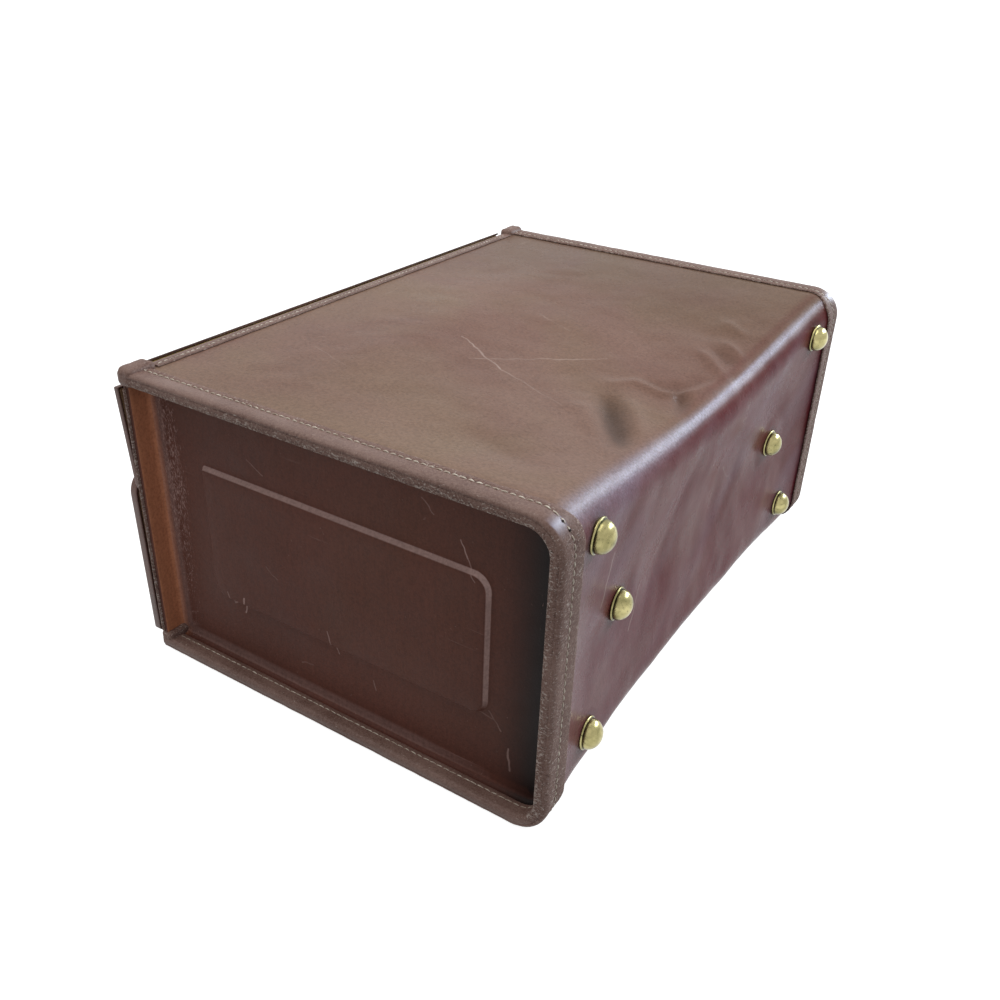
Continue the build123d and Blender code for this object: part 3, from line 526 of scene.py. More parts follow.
def hide_relief(x, y, z, normal):
    """Height of dents, creases and slow waves over the plain sagged hide, and painted shade in crease valleys
    and round the feet.
    """
    inside = smooth(WIDTH / 2 - abs(y), 24, 60) * smooth(x, MOUTH_X + 14, MOUTH_X + 60)
    relief = 0.9 * fbm(x, y, z, 70, 3) * inside + 0.25 * fbm(x + 90, y, z, 18, 2) * inside
    up = max(normal.y, 0.0)
    out = max(normal.x, 0.0)
    dirt_and_painted_shade = 0.0
    if up > 0.05:
        level = up * inside * (1 - smooth(x, 118, 138))
        for line, width, height in CREASES:
            share = level * along_line(x, y, line, width)
            relief += share * height
            # Valleys of the creases are darkened with painted shade
            dirt_and_painted_shade += share * min(height + 1.0, 0.0) * 0.17
    if out > 0.05:
        for line, width, height in FOLDS:
            relief += out**3 * height * along_line(y, z, line, width) * inside
        # A ring of painted shade round each foot
        for foot_y, foot_z in FEET:
            away = math.hypot(y - foot_y, z - foot_z)
            relief *= 1 - (1 - smooth(away, 12, 26)) * out
            dirt_and_painted_shade -= 0.35 * out * (1 - smooth(away, 11.5, 15.5))
    if normal.y < -0.5:
        relief *= 0.2
    return relief, max(dirt_and_painted_shade, -0.55)


def hide_rows(depth, low_y, high_y, step, start_x):
    """Rows of points over the whole hide at one depth, with tone, wear, rubs with painted shade, and painted
    highlight.
    """
    count = round((high_y - low_y) / step)
    points, tone, wear, rub_and_painted_light, painted_highlight = [], [], [], [], []
    for row in range(count + 1):
        y = low_y + (high_y - low_y) * row / count
        line = hide_line(y, depth, start_x)
        for place, normal in zip(line, normals(line)):
            relief, dirt_and_painted_shade = hide_relief(place.x, y, place.y, normal)
            points.append((place.x + normal.x * relief, y, place.y + normal.y * relief))
            side = smooth(normal.x, 0.45, 0.95)
            distant = smooth(y, -150, 40)
            rust = 0.34 * distant * math.exp(-(((normal.x - 0.26) / 0.17) ** 2)) if normal.y > 0 else 0.0
            tone.append(max(side * (0.92 + 0.15 * fbm(place.x, y, place.y, 60, 2)), rust))
            wear.append(0.12 * fbm(place.x, y, place.y, 60, 2) + 0.10 * side)
            # The back face is darkened towards the far end with painted shade
            far = smooth(y, 20, 200) * max(normal.y, 0.0) * (1 - 0.3 * smooth(place.x, 60, 120))
            patches = max(fbm(place.x, y + 200, place.y, 45, 2), -0.4) * side
            rub_and_painted_light.append(dirt_and_painted_shade + 0.14 * patches - 0.22 * far)
            # Painted highlight along the bend, wider at the near end, and painted sheen in streaks on the
            # bottom
            crest = math.exp(-(((normal.x - 0.62) / (0.24 - 0.16 * distant)) ** 2)) if normal.y > 0 else 0.0
            sheen = 0.16 * side * max(fbm(place.x, 0.6 * y - 0.8 * place.y, place.y * 0.3, 34, 2), 0.0)
            painted_highlight.append((0.5 + 0.25 * distant) * crest * (1 - 0.5 * smooth(y, 120, 210)) + sheen)
    return points, count + 1, len(line), {"tone": tone, "wear": wear, "rub_and_painted_light": rub_and_painted_light, "painted_highlight": painted_highlight}


points, rows, columns, extra = hide_rows(1.6, NEAR_Y + 1.6, -NEAR_Y - 1.6, 3.0, -155.8)
faces = grid_faces(rows, columns)
thicken(build("hide", points, faces, BODY, "case", ["body_wrap"], extra), 2.4)

points, rows, columns, extra = hide_rows(4.6, NEAR_Y + RIM_WIDTH, -NEAR_Y - RIM_WIDTH, 6.0, MOUTH_X + 20)
faces = grid_faces(rows, columns)
thicken(build("hide_lining", points, faces, LINING, "case", ["body_lining"], extra), 0.8)


# Strips over the rims of both ends
RIM_START, RIM_STEP = -155.6, 2.4
# Wear of a strip point by point across it: where it lies on the back face, then on the bottom
PLAIN_WEAR = [
    0.8, 0.9, 0.7, 0.55, 0.4, 0.5, 0.6, 0.6, 0.45, 0.2, 0.1, 0.1, 0.12, 0.2, 0.25, 0.3, 0.45, 0.6,
]
RUBBED_WEAR = [
    0.9, 0.9, 0.8, 0.7, 0.6, 0.55, 0.6, 0.6, 0.6, 0.65, 0.7, 0.6, 0.6, 0.6, 0.5, 0.5, 0.5, 0.6,
]


def rim_line(depth, start_x):
    """Outline of an end at one depth, from the mouth over the back face, bottom and front face."""
    corners = [
        Vector((start_x, DEPTH - depth)), Vector((BOTTOM_X - depth, DEPTH - depth)),
        Vector((BOTTOM_X - depth, depth)), Vector((start_x, depth)),
    ]
    runs = [round(length / RIM_STEP) for length in (290, 160, 290)]
    return rounded(corners, [BEND - depth] * 2, (12, 12), runs)


def strip(end, side):
    """Strip folded over one rim, with its worn ridge, its sunken seam and its uneven cut edge."""
    base = rim_line(0.0, RIM_START)
    points, wear, painted_highlight = [], [], []
    for place, normal in zip(base, normals(base)):
        out = max(normal.x, 0.0)
        width = 17.0 + 6.0 * smooth(out, 0.25, 0.95)
        width += 0.55 * noise.noise(Vector((place.x / 9, place.y / 9, side * 3.0)))
        width += 0.35 * noise.noise(Vector((place.x / 2.5, place.y / 2.5, side * 9.0)))
        profile = [
            (width - 0.4, 1.45), (width, 1.1), (width - 0.1, 0.55), (width - 0.7, 0.25), (width - 2.0, 0.1),
            (13.4, 0.05), (12.6, 0.25), (12.0, 0.42), (11.4, 0.25), (10.4, 0.02), (7.5, -0.15), (5.0, -0.25),
            (3.2, -0.20), (2.0, 0.05), (1.0, 0.55), (0.35, 1.25), (0.0, 2.1), (0.45, 2.7), (0.0, 3.3),
            (-0.05, 4.6), (0.0, 6.6), (0.45, 7.6), (1.4, 8.2), (3.2, 8.3), (5.5, 8.25), (8.0, 8.3),
            (10.4, 8.25), (11.0, 7.9), (10.9, 6.9), (9.0, 6.82), (2.2, 6.8), (1.6, 6.0), (1.6, 2.4),
            (2.2, 1.52), (9.0, 1.5),
        ]
        bend = 1.0 - min(abs(out - 0.62) / 0.25, 1.0) if normal.y > 0 else 0.0
        for index, (away, depth) in enumerate(profile):
            rough = 0.16 if index < 28 else 0.0
            x, z = place.x - normal.x * depth, place.y - normal.y * depth
            bump = rough * fbm(x, away * side * 2.0, z, 4.5, 2)
            bump += (0.22 if 12 <= index <= 22 else 0.08) * fbm(x + 40, away, z, 15, 2) if rough else 0.0
            y = side * (-NEAR_Y - max(away - (bump if 14 <= index <= 21 else 0.0), 0.02))
            lift = max(min(bump, 0.3), -0.3) if index < 14 else 0.0
            points.append((x + normal.x * min(lift, 0.0), y, z + normal.y * min(lift, 0.0)))
            if index < len(PLAIN_WEAR):
                level = PLAIN_WEAR[index]
                level += (RUBBED_WEAR[index] - level) * smooth(out, 0.5, 0.95)
                level *= 1 - 0.85 * bend if 4 < index < 14 else 1.0
            else:
                level = 0.55 + 0.35 * smooth(depth, 3.0, 8.0) if index < 24 else 0.4
            if normal.y < 0:
                level *= 1 - 0.7 * smooth(-normal.y, 0.5, 1.0)
            wear.append(level + 0.12 * fbm(x, away, z, 26, 2))
            # Painted highlight along the strip where it bends over the rim
            painted_highlight.append(0.5 * bend**2 if 5 < index < 13 else 0.0)
    faces = closed_faces(len(base), len(profile), side < 0, side > 0)
    build(
        f"rim_strip_{end}", points, faces, STRIP, "case", [f"edge_strip_{end}"],
        {"wear": wear, "painted_highlight": painted_highlight}, keep_sharp=60,
    )


def soft_box(name, low, high, radius, lump, wear_level, replaced=(), cuts=8):
    """Rounded block of strip leather with lumps, for what is rolled or folded."""
    size = [h - l for l, h in zip(low, high)]
    counts = [max(3, min(cuts * 4, round(s / 1.4))) for s in size]
    centre = Vector([(l + h) / 2 for l, h in zip(low, high)])
    half = Vector([s / 2 for s in size])
    points, faces, index = [], [], {}

    def corner(key):
        if key not in index:
            local = Vector([(k / c * 2 - 1) * h for k, c, h in zip(key, counts, half)])
            core = Vector([max(min(v, h - radius), radius - h) for v, h in zip(local, half)])
            away = local - core
            if away.length > 1e-9:
                at_surface = max(map(abs, away)) >= radius * 0.999
                core += away.normalized() * (radius if at_surface else min(away.length, radius))
            place = centre + core
            shift = lump * fbm(*place, 6.0, 2)
            inward = (centre - place).normalized()
            points.append(place + inward * max(shift, 0.0))
            index[key] = len(points) - 1
        return index[key]

    for axis in range(3):
        u, v = (axis + 1) % 3, (axis + 2) % 3
        for end in (0, counts[axis]):
            for i in range(counts[u]):
                for j in range(counts[v]):
                    keys = []
                    for a, b in ((0, 0), (1, 0), (1, 1), (0, 1)):
                        key = [0, 0, 0]
                        key[axis], key[u], key[v] = end, i + a, j + b
                        keys.append(corner(tuple(key)))
                    faces.append(keys if end else keys[::-1])
    wear = [wear_level] * len(points)
    build(name, points, faces, STRIP, "case", replaced, {"wear": wear})


# Stitches
def stitches(name, places, body, length, radius):
    """Row of stitches: each a short bent thread that dips at both ends."""
    points, faces = [], []
    sides, rings = 6, 5
    for at, along, out in places:
        along = along.normalized()
        out = out.normalized()
        across = along.cross(out)
        tilt = random.uniform(-0.09, 0.09)
        along = (along + across * tilt).normalized()
        long = length * random.uniform(0.9, 1.06)
        start = len(points)
        for ring in range(rings):
            share = ring / (rings - 1)
            swell = radius * (0.35 + 0.65 * math.sin(math.pi * (0.12 + 0.76 * share)))
            rise = 0.30 * math.sin(math.pi * share) - 0.12
            centre = at + along * ((share - 0.5) * long) + out * rise
            for step in range(sides):
                angle = 2 * math.pi * step / sides
                points.append(centre + (across * math.cos(angle) + out * math.sin(angle) * 0.8) * swell)
        for face in closed_faces(rings, sides, flip=True):
            faces.append([start + corner for corner in face])
    build(name, points, faces, THREAD, body)


def spaced(line, pitch, low=0.0, high=None):
    """Places and directions at equal steps along a line of points."""
    out, walked, due = [], 0.0, low
    for i in range(len(line) - 1):
        step = line[i + 1] - line[i]
        while due <= walked + step.length and (high is None or due <= high):
            if step.length > 1e-9:
                out.append((line[i] + step * ((due - walked) / step.length), step.normalized()))
            due += pitch
        walked += step.length
    return out


def rim_rows(line, start, side, away, outward):
    """Places for stitches along a rim line, some way in from one end of the case."""
    rows = []
    for place, direction in spaced(line, STITCH_PITCH, start):
        spot = Vector((place.x, side * (-NEAR_Y - away), place.y))
        out = Vector((-direction.y, 0, direction.x)) * outward
        rows.append((spot, Vector((direction.x, 0, direction.y)), out))
    return rows


STITCH_PITCH = 4.9
for end, side in ENDS:
    strip(end, side)
    end_y = side * -NEAR_Y
    low, high = sorted((end_y, end_y - side * RIM_WIDTH))
    soft_box(f"back_cap_{end}", (-161.4, low - 0.3, 196.2), (-148.0, high + 0.3, 209.2), 4.4, 0.7, 0.22)
    soft_box(f"front_cap_{end}", (-158.9, low + 0.1, 0.05), (-148.4, high - 0.1, 12.9), 3.2, 0.5, 0.55)
    low, high = sorted((end_y - side * 0.1, end_y - side * 15.9))
    soft_box(
        f"mouth_edge_{end}", (-156.9, low, 13.4), (-155.1, high, 195.6), 0.8, 0.15, 0.8,
        [f"mouth_strip_{end}"], cuts=24,
    )
    rows = rim_rows(rim_line(0.25, RIM_START), 7.0, side, 12.0, 1)
    stitches(f"rim_stitches_{end}", rows, "case", 3.6, 0.55)
    rows = rim_rows(rim_line(8.35, -148.0), 4.0, side, 8.0, -1)
    stitches(f"flange_stitches_{end}", rows, "case", 4.3, 0.36)


# Pressed end panels
def ring_points(low_x, high_x, low_z, high_z, radii, per_corner=9, per_side=(46, 30)):
    """Closed rounded rectangle: corners at low x low z, high x low z, high x high z, low x high z."""
    corners = [
        Vector((low_x, low_z)), Vector((high_x, low_z)), Vector((high_x, high_z)), Vector((low_x, high_z)),
    ]
    bends = []
    for i in range(4):
        radius = max(min(radii[i], (high_x - low_x) / 2.01, (high_z - low_z) / 2.01), 0.01)
        bends.append(arc(corners[i - 1], corners[i], corners[(i + 1) % 4], radius, per_corner))
    points = []
    for i in range(4):
        points.extend(bends[i][:-1])
        following = bends[(i + 1) % 4][0]
        count = per_side[i % 2]
        points.extend(bends[i][-1].lerp(following, step / count) for step in range(count))
    return points


def inset(box, away):
    """A rounded rectangle moved inwards."""
    low_x, high_x, low_z, high_z, radii = box
    return (low_x + away, high_x - away, low_z + away, high_z - away, [max(r - away, 0.6) for r in radii])


def blend_box(first, second, share):
    """A rounded rectangle between two others."""
    mixed = [a + (b - a) * share for a, b in zip(first[:4], second[:4])]
    return (*mixed, [a + (b - a) * share for a, b in zip(first[4], second[4])])


OUTER = (-155.0, 148.3, 4.2, 201.8, [6.0, 17.8, 17.8, 6.0])
PLATEAU = (-112.5, 104.5, 54.0, 152.0, [12.0, 12.0, 12.0, 4.0])
# Slope round the raised rectangle: distance in from its outline, and depth below the rim
BEVEL = ((0.2, 15.97), (0.7, 15.8), (1.2, 15.4), (2.0, 14.5), (2.9, 13.5), (3.5, 13.0), (4.3, 12.8))
FOLD_RADIUS, WALL_DEPTH = 3.4, 12.6


def panel(end, side):
    """Tray of stiff leather: flange, rounded fold, flat field and raised rectangle."""
    wall = inset(OUTER, 2.5)
    rings = [(OUTER, 1.7), (OUTER, 2.4), (inset(OUTER, 0.3), 1.65), (inset(OUTER, 2.2), 1.65)]
    wall_ring = len(rings)
    rings += [(wall, y) for y in (1.9, 4.0, 7.0, 10.0, WALL_DEPTH)]
    fold_ring = len(rings)
    for step in range(1, 7):
        angle = step / 6 * math.pi / 2
        away = FOLD_RADIUS * (1 - math.cos(angle))
        rings.append((inset(wall, away), WALL_DEPTH + FOLD_RADIUS * math.sin(angle)))
    field = inset(wall, FOLD_RADIUS)
    for step in range(1, 15):
        rings.append((blend_box(field, inset(PLATEAU, -1.5), step / 14), WALL_DEPTH + FOLD_RADIUS))
    field_rings = len(rings)
    rings += [(inset(PLATEAU, away), depth) for away, depth in BEVEL]
    reach, top = BEVEL[-1]
    rings += [(inset(PLATEAU, reach + 7.0 * step), top) for step in range(1, 5)]
    points, wear, tone, rub_and_painted_light = [], [], [], []
    for index, (box, depth) in enumerate(rings):
        for place in ring_points(*box):
            x, z = place.x, place.y
            if fold_ring + 3 < index < field_rings - 1:
                depth = rings[index][1] + 0.30 * fbm(x, z, side * 50.0, 45, 3)
            points.append((x, side * (-NEAR_Y - max(depth, 0.2)), z))
            beside_fold = 0.0
            if index > fold_ring:
                beside_fold = smooth(x, -151.5, -146.0) * (1 - smooth(x, -136.0, -124.0))
            high = smooth(z, 20, 120) * (1 - smooth(z, 180, 196))
            low_edge = (1 - smooth(z, 8.0, 14.0)) * 0.5
            rubbed = 0.72 * beside_fold * (0.55 + 0.45 * high) + 0.3 * low_edge
            wear.append(rubbed + 0.1 * fbm(x, z, 9.0, 30, 2))
            tone.append(1 - smooth(x, -152.0, -146.5) if index >= wall_ring else 0.0)
            # Raised rectangle's slope: painted highlight on its top and right sides, painted shade on the
            # others
            on_bevel = 1.0 if field_rings + 1 < index < field_rings + 5 else 0.0
            lit_bevel_side = max(smooth(z, 138, 146), smooth(x, 90, 98) * smooth(z, 56, 70))
            corner = smooth(x, 88, 98) * smooth(z, 134, 144)
            # Painted shade towards the right side of the field and under the top of the rim
            dim = max(0.22 * smooth(x, 50, 120) + 0.76 * smooth(x, 104, 138), 0.28 * smooth(z, 184, 198))
            # Painted highlight on the fold at the mouth side and at the bottom
            on_fold = fold_ring + 3 <= index <= fold_ring + 7 and (x < -140 or z < 14)
            bevel_light_and_shade = on_bevel * ((0.72 + 0.25 * corner) * lit_bevel_side - 0.25 * (1 - lit_bevel_side))
            rub_and_painted_light.append(bevel_light_and_shade + (0.24 if on_fold else 0.0) - dim * (1 - on_bevel))
    columns = len(ring_points(*OUTER))
    faces = grid_faces(len(rings), columns, True, side > 0)
    last = [(len(rings) - 1) * columns + i for i in range(columns)]
    faces.append(last if side < 0 else last[::-1])
    piece = build(
        f"pressed_panel_{end}", points, faces, PANEL, "case", [f"end_panel_{end}"],
        {"wear": wear, "tone": tone, "rub_and_painted_light": rub_and_painted_light},
    )
    thicken(piece, 2.2)


for end, side in ENDS:
    panel(end, side)


# Hems along the mouth
def hem(name, at_back):
    """Leather folded over the mouth edge of the hide."""
    profile = [
        (-148.2, 1.45), (-148.0, 1.1), (-148.3, 0.6), (-149.0, 0.42), (-150.6, 0.36), (-151.3, 0.6),
        (-152.0, 0.36), (-153.6, 0.30), (-154.8, 0.35), (-156.2, 0.7), (-156.9, 1.5), (-157.0, 3.4),
        (-156.9, 5.6), (-156.2, 6.6), (-155.0, 6.88), (-149.0, 6.88), (-143.4, 6.85), (-143.1, 6.3),
        (-143.4, 5.85), (-155.4, 5.82), (-155.85, 5.2), (-155.85, 2.2), (-155.4, 1.52),
    ]
    low, high = NEAR_Y + 22.4, -NEAR_Y - 22.4
    rows = round((high - low) / 3.0)
    points, wear = [], []
    for row in range(rows + 1):
        y = low + (high - low) * row / rows
        edge = 0.5 * noise.noise(Vector((y / 11, 4.0, at_back * 5.0)))
        edge += 0.25 * noise.noise(Vector((y / 3, 8.0, 1.0)))
        for index, (x, depth) in enumerate(profile):
            shift = edge if index < 4 else 0.0
            dip = 0.1 * max(fbm(x, y, depth, 8.0, 2), -0.3) if index < 9 else 0.0
            depth += max(dip, 0.0)
            points.append((x + shift, y, DEPTH - depth if at_back else depth))
            wear.append(0.5 if index < 3 or 9 <= index <= 12 else 0.12)
    build(
        name, points, closed_faces(rows + 1, len(profile), not at_back, not at_back), STRIP, "case",
        ["back_hem" if at_back else "front_hem"], {"wear": wear}, keep_sharp=60,
    )
    up = 1 if at_back else -1
    z = DEPTH - 0.5 if at_back else 0.5
    pitch, margin = 4.4, 4
    places = [
        (Vector((-151.3, low + margin + pitch * i, z)), Vector((0, 1, 0)), Vector((0, 0, up)))
        for i in range(int((high - low - 2 * margin) / pitch))
    ]
    stitches(name + "_stitches", places, "case", 3.3, 0.45)


hem("mouth_hem_back", True)
hem("mouth_hem_front", False)


# Lid and rear flap
def slab(name, body, axes, box, high, skin, edge, replaced):
    """Leather cover with rounded edges and a pocket on its inner side."""
    origin, across, up, out = axes
    low = COVER_INSIDE
    rings = [(inset(box, 18.0 * (1 - step / 5) + edge), high) for step in range(6)]
    for step in range(1, 6):
        angle = step / 5 * math.pi / 2
        rings.append((inset(box, edge * (1 - math.sin(angle))), high - edge * (1 - math.cos(angle))))
    rings += [(box, high - edge - (high - edge - low - 0.5) * step / 3) for step in (1, 2, 3)]
    rings += [(inset(box, 0.15), low + 0.15), (inset(box, 0.5), low), (inset(box, skin - 0.4), low)]
    pocket = high - skin
    rings += [(inset(box, skin), low + 0.4), (inset(box, skin), pocket), (inset(box, skin + 20), pocket)]
    points, wear = [], []
    for index, (shape, level) in enumerate(rings):
        for place in ring_points(*shape, per_side=COVER_STEPS):
            spot = origin + across * place.x + up * place.y + out * level
            sway = 0.25 * min(fbm(spot.x, spot.y, spot.z, 40, 3), 0.0) if index < 8 else 0.0
            points.append(spot + out * sway)
            wear.append(0.42 if 5 <= index <= 13 else 0.05)
    columns = len(ring_points(*box, per_side=COVER_STEPS))
    faces = closed_faces(len(rings), columns, flip_ends=True)
    build(name, points, faces, LID, body, [replaced], {"wear": wear}, keep_sharp=50)


# Levels are heights over the hinge's axis, square to the cover; lengths run from that axis
COVER_HALF, COVER_INSIDE, COVER_STEPS = 225.0, 2.6, (60, 18)
LID_LENGTH, LID_OUTSIDE = 123.8, 9.2
FLAP_LENGTH, FLAP_OUTSIDE = 82.0, 6.6
lean = math.radians(1.2175)
lid_pin = Vector((-157.9, 0, 9.6))
lid_up = Vector((-math.sin(lean), 0, math.cos(lean)))
lid_out = Vector((-math.cos(lean), 0, -math.sin(lean)))
LID_AXES = (lid_pin, Vector((0, -1, 0)), lid_up, lid_out)
box = (-COVER_HALF, COVER_HALF, 1.0, LID_LENGTH, [2.0, 2.0, 16.0, 16.0])
slab("lid_leather_cover", "lid", LID_AXES, box, LID_OUTSIDE, 2.0, 1.9, "lid_cover")
lean = math.radians(4.897)
flap_pin = Vector((-161.8, 0, 200.4))
flap_down = Vector((math.sin(lean), 0, -math.cos(lean)))
flap_out = Vector((-math.cos(lean), 0, -math.sin(lean)))
FLAP_AXES = (flap_pin, Vector((0, 1, 0)), flap_down, flap_out)
box = (-COVER_HALF, COVER_HALF, 6.4, FLAP_LENGTH, [1.0, 1.0, 10.0, 10.0])
slab("flap_leather_cover", "rear_flap", FLAP_AXES, box, FLAP_OUTSIDE, 1.5, 1.0, "flap_cover")


def flap_roll():
    """Leather rolled over the hinge of the rear flap."""
    outer, inner, half, rows = 4.4, 3.0, 204.5, 136
    quarter = [math.pi / 2 * step / 8 for step in range(9)]
    profile = [(outer * math.sin(angle), -outer * math.cos(angle)) for angle in quarter]
    profile += [(outer, 2.0), (outer, 5.0), (4.45, 7.5), (3.1, 7.5), (inner, 4.0)]
    profile += [(inner * math.sin(angle), -inner * math.cos(angle)) for angle in quarter[::-1]]
    points = []
    for row in range(rows + 1):
        y = -half + 2 * half * row / rows
        for index, (out, down) in enumerate(profile):
            spot = flap_pin + flap_out * out + flap_down * down + Vector((0, y, 0))
            dip = 0.12 * min(fbm(spot.x, y, spot.z, 12, 2), 0) if index < 11 else 0.0
            points.append(spot + flap_out * dip)
    wear = {"wear": [0.4] * len(points)}
    faces = closed_faces(rows + 1, len(profile))
    build("flap_roll", points, faces, LID, "rear_flap", (), wear, keep_sharp=50)


flap_roll()


def cover_stitches(name, body, axes, box, level):
    """Row of stitches just inside the edge of a cover."""
    origin, across, up, out = axes
    line = ring_points(*inset(box, 4.5), per_side=COVER_STEPS)
    rows = []
    for place, direction in spaced(line + line[:1], STITCH_PITCH):
        spot = origin + across * place.x + up * place.y + out * (level + 0.05)
        rows.append((spot, across * direction.x + up * direction.y, out))
    stitches(name, rows, body, 3.0, 0.36)


box = (-COVER_HALF, COVER_HALF, 1.0, LID_LENGTH, [6.0, 6.0, 16.0, 16.0])
cover_stitches("lid_stitches", "lid", LID_AXES, box, LID_OUTSIDE)
box = (-COVER_HALF, COVER_HALF, 6.4, FLAP_LENGTH, [6.0, 6.0, 10.0, 10.0])
cover_stitches("flap_stitches", "rear_flap", FLAP_AXES, box, FLAP_OUTSIDE)


# Handle grip
HANDLE_LEVEL, HANDLE_RISE, HANDLE_HALF = 97.8, 15.8, 64.0


def grip():
    """Leather sewn round a firm core: a swept rounded section, slimmer at its ends, with its seam."""
    place = lid_pin + lid_up * HANDLE_LEVEL + lid_out * HANDLE_RISE
    corners = [Vector((side * HANDLE_HALF, drop)) for side, drop in ((-1, 13), (-1, 40), (1, 40), (1, 13))]
    line = rounded(corners, [16.0, 16.0], (14, 14), (6, 40, 6))
    points, wear = [], []
    around = 24
    for spot, normal in zip(line, normals(line)):
        reach = min((spot - line[0]).length, (spot - line[-1]).length)
        swell = 0.90 + 0.10 * smooth(reach, 0, 14)
        for step in range(around):
            angle = 2 * math.pi * step / around
            wide = 8.5 * swell * math.copysign(abs(math.cos(angle)) ** 0.8, math.cos(angle))
            deep = 6.0 * swell * math.copysign(abs(math.sin(angle)) ** 0.8, math.sin(angle))
            flat = spot + normal * wide
            world = place + Vector((0, flat.x, 0)) - lid_up * flat.y + lid_out * deep
            dip = 0.2 * min(fbm(world.x, world.y, world.z, 10, 2), 0)
            points.append(world + (place - world).normalized() * -dip * 0.5)
            wear.append(0.30 if abs(math.cos(angle)) > 0.9 else 0.1)
    pad = build(
        "grip", points, closed_faces(len(line), around), GRIP, "handle", ["handle_grip"],
        {"wear": wear}, keep_sharp=60,
    )
    rows = []
    for spot, direction in spaced(line, 4.4, 6.0, 160.0):
        flat = spot - Vector((-direction.y, direction.x)) * 6.4
        world = place + Vector((0, flat.x, 0)) - lid_up * flat.y + lid_out * 4.55
        rows.append((world, Vector((0, direction.x, 0)) - lid_up * direction.y, lid_out))
    stitches("grip_stitches", rows, "handle", 2.6, 0.34)


grip()


# Feet, nails and rivets
def turned(name, centres, axis, profile, material, body, replaced=(), around=40):
    """Domes turned round an axis through each centre, from heights and radii in millimetres."""
    axis = axis.normalized()
    side = axis.orthogonal().normalized()
    other = axis.cross(side)
    points, tone, faces = [], [], []
    widest = max(radius for _, radius in profile)
    for centre in centres:
        start = len(points)
        for height, radius in profile:
            for step in range(around):
                angle = 2 * math.pi * step / around
                away = side * math.cos(angle) + other * math.sin(angle)
                points.append(centre + axis * height + away * radius)
                # Painted shade on the lower side of each dome; tarnish in the groove
                low = max(-away.z, 0.0) * radius / widest
                in_groove = 1.3 < height < 2.2
                tone.append(max(0.85 * low**1.4, 0.9 if in_groove else 0.0))
        for face in closed_faces(len(profile), around, flip_ends=True):
            faces.append([start + corner for corner in face])
    build(name, points, faces, material, body, replaced, {"tone": tone}, keep_sharp=50)


def seat(name):
    """Centre on the hide and axis of a turned CAD foot."""
    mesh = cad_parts[name].data
    flat = max((face for face in mesh.polygons if face.normal.x < -0.9), key=lambda face: face.area)
    axis = -flat.normal.copy()
    side = axis.orthogonal().normalized()
    centre = axis * flat.center.dot(axis)
    for direction in (side, axis.cross(side)):
        reach = [vertex.co.dot(direction) for vertex in mesh.vertices]
        centre += direction * (min(reach) + max(reach)) / 2
    return centre / MM - SHIFT, axis


DOME = [(-1.4, 9.4), (-0.2, 10.2), (0.4, 10.6), (0.9, 10.6), (1.3, 10.3), (1.5, 9.8), (1.6, 9.5), (1.9, 9.55)]
for step in range(1, 15):
    angle = math.pi / 2 * step / 14.6
    DOME.append((1.9 + 8.1 * math.sin(angle), 9.55 * math.cos(angle)))
for row in ("back", "middle", "front"):
    for end, _ in ENDS:
        centre, axis = seat(f"foot_{row}_{end}")
        turned(f"brass_foot_{row}_{end}", [centre], axis, DOME, BRASS, "case", [f"foot_{row}_{end}"])
NAIL = [(-0.6, 0.7), (0.12, 0.8), (0.3, 0.68), (0.42, 0.4), (0.46, 0.12)]
nails = [Vector((144.5, -215.7, 200.9)), Vector((148.3, -215.0, 196.9))]
turned("strip_nails", nails, Vector((0.72, 0, 0.69)), NAIL, NAIL_HEAD, "case", around=14)

# Rivets of the brackets, hasps and locks, from the same places as their CAD solids
RIVET = [(-0.5, 1.2), (0.05, 1.25), (0.25, 1.1), (0.38, 0.7), (0.42, 0.2)]
BRACKET_OUTSIDE = LID_OUTSIDE + 1.4
HASP_Y, HASP_BASE_LEVEL, HASP_BASE_OUTSIDE = 136.0, 109.0, LID_OUTSIDE + 1.2
HASP_PIN_LEVEL, HASP_PIN_RISE = 120.8, 2.3
LOCK_Y, LOCK_LEVEL = 145.0, 56.2
hasp_pin = lid_pin + lid_up * HASP_PIN_LEVEL + lid_out * (LID_OUTSIDE + HASP_PIN_RISE)
lock_front = (hasp_pin - flap_pin).dot(flap_out) - HASP_PIN_RISE
for end, side in ENDS:
    across = Vector((0, side, 0))
    bracket = lid_pin + lid_up * HANDLE_LEVEL + lid_out * BRACKET_OUTSIDE + across * HANDLE_HALF
    places = [bracket + across * a + lid_up * b for a in (-8.6, 8.6) for b in (-6.8, 6.8)]
    base = lid_pin + lid_up * HASP_BASE_LEVEL + lid_out * HASP_BASE_OUTSIDE + across * HASP_Y
    places += [base + across * a for a in (-5.2, 5.2)]
    turned(f"lid_rivets_{end}", places, lid_out, RIVET, LOCK_BRASS, "lid", around=16)
    lock = flap_pin + flap_down * LOCK_LEVEL + flap_out * lock_front + across * LOCK_Y
    places = [lock + across * a for a in (-20.0, 20.0)]
    turned(f"lock_rivets_{end}", places, flap_out, RIVET, LOCK_BRASS, "rear_flap", around=16)

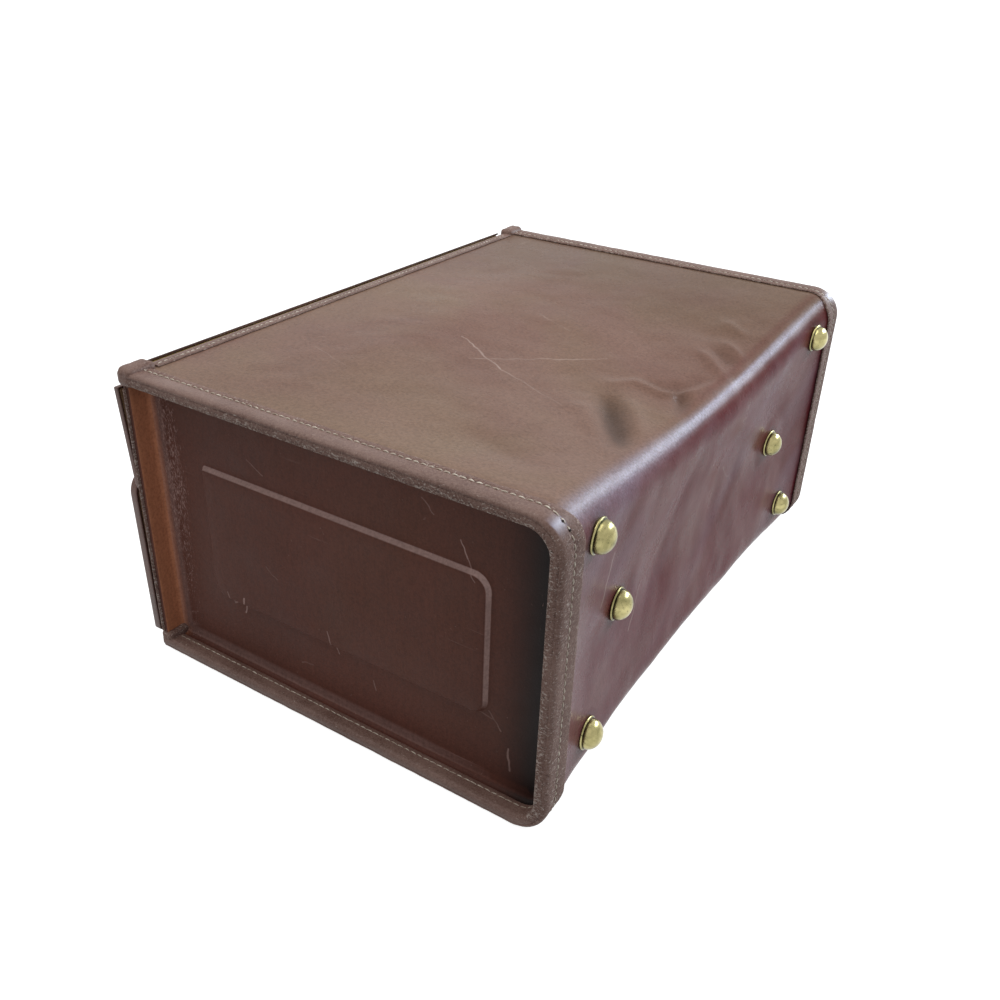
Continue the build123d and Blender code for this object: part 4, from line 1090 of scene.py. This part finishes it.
# Materials of the CAD nodes that stay
KEPT = {
    BRASS: ["foot_burrs"],
    LOCK_BRASS: [
        f"{part}_{end}"
        for part in ("lock_body", "lock_slide", "hasp_base", "hasp_plate", "handle_end", "handle_bracket")
        for end, _ in ENDS
    ] + ["lid_hinge_body_leaf", "lid_hinge_lid_leaf", "flap_hinge_body_leaf", "flap_hinge_flap_leaf"],
    STEEL: [f"{part}_{end}" for part in ("hasp_pin", "handle_pin") for end, _ in ENDS]
    + ["back_rail", "front_rail", "lid_hinge_pin", "flap_hinge_pin"],
    BOARD: ["lid_board", "flap_board"],
    LINING: ["lid_lining", "flap_lining", "end_lining_near", "end_lining_far"],
}
for material, names in KEPT.items():
    for name in names:
        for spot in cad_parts[name].material_slots:
            spot.material = material


# Camera, floor and light
def axes_at(place, right, top, back):
    """Matrix of a camera or lamp at a place in metres, with its three axes."""
    return Matrix.Translation(place) @ Matrix((right, top, back)).transposed().to_4x4()


def seen_directly(tree):
    """1 for rays from the camera, from shiny surfaces and through glass, 0 for the others."""
    path = tree.nodes.new("ShaderNodeLightPath")
    seen = path.outputs["Is Camera Ray"]
    for ray in ("Is Glossy Ray", "Is Transmission Ray"):
        larger = tree.nodes.new("ShaderNodeMath")
        larger.operation = "MAXIMUM"
        tree.links.new(seen, larger.inputs[0])
        tree.links.new(path.outputs[ray], larger.inputs[1])
        seen = larger.outputs[0]
    return seen


right = Vector((0.84205, 0.53836, 0.0333)).normalized()
forward = Vector((-0.45599, 0.74348, -0.48919)).normalized()
camera = bpy.data.objects.new("camera", bpy.data.cameras.new("camera"))
bpy.context.scene.collection.objects.link(camera)
place = (Vector((330.2, -576.3, 437.9)) + SHIFT) * MM
camera.matrix_world = axes_at(place, right, right.cross(forward).normalized(), -forward)
camera.data.lens = 35.54
camera.data.sensor_width = 36.0
camera.data.clip_start = 0.01
bpy.context.scene.camera = camera

floor_mesh = bpy.data.meshes.new("floor")
floor_mesh.from_pydata([(-20, -20, 0), (20, -20, 0), (20, 20, 0), (-20, 20, 0)], [], [(0, 1, 2, 3)])
floor = bpy.data.objects.new("floor", floor_mesh)
bpy.context.scene.collection.objects.link(floor)
floor.location.z = -0.5 * MM
n = Nodes("floor")
grey = n.mix(n.span(n.noise(3.0, 2.0), 0.3, 0.7), (0.42, 0.42, 0.42, 1), (0.44, 0.44, 0.44, 1))
plain = n.new("ShaderNodeBsdfDiffuse", Color=grey)
glow = n.new("ShaderNodeEmission", Color=(1, 1, 1, 1))
n.put(glow, "Strength", n.math("MULTIPLY", seen_directly(n.tree), 0.88))
both = n.tree.nodes.new("ShaderNodeAddShader")
n.tree.links.new(plain.outputs[0], both.inputs[0])
n.tree.links.new(glow.outputs[0], both.inputs[1])
n.tree.links.new(both.outputs[0], n.out.inputs["Surface"])
floor_mesh.materials.append(n.material)

world = bpy.data.worlds.new("world")
bpy.context.scene.world = world
world.use_nodes = True
tree = world.node_tree
tree.nodes.clear()
result = tree.nodes.new("ShaderNodeOutputWorld")
choose = tree.nodes.new("ShaderNodeMixShader")
tree.links.new(seen_directly(tree), choose.inputs[0])
# First the sky that lights the case, then the white that is seen directly
for index, (colour, strength) in enumerate((((0.92, 0.96, 1.0, 1), 0.55), ((1, 1, 1, 1), 1.0))):
    sky = tree.nodes.new("ShaderNodeBackground")
    sky.inputs["Color"].default_value = colour
    sky.inputs["Strength"].default_value = strength
    tree.links.new(sky.outputs[0], choose.inputs[1 + index])
tree.links.new(choose.outputs[0], result.inputs["Surface"])


def lamp(name, place, aim, size, power, colour, long_side=(1, 0, 0)):
    """Soft rectangular lamp pointing at a place, its long side turned one way."""
    light = bpy.data.lights.new(name, "AREA")
    light.shape = "RECTANGLE"
    light.size, light.size_y = size
    light.energy = power
    light.color = colour
    holder = bpy.data.objects.new(name, light)
    bpy.context.scene.collection.objects.link(holder)
    back = (Vector(place) - Vector(aim)).normalized()
    short = back.cross(Vector(long_side)).normalized()
    holder.matrix_world = axes_at(place, short.cross(back), short, back)


lamp("window", (1.0, 1.8, 1.06), (0.1, 0.0, 0.15), (1.8, 0.5), 42, (0.80, 0.90, 1.0), (1, 0, 1))
lamp("overhead", (-0.5, -0.2, 1.9), (0.0, 0.0, 0.1), (1.6, 1.6), 22, (1.0, 0.98, 0.95))

bpy.context.scene.view_settings.view_transform = "Standard"
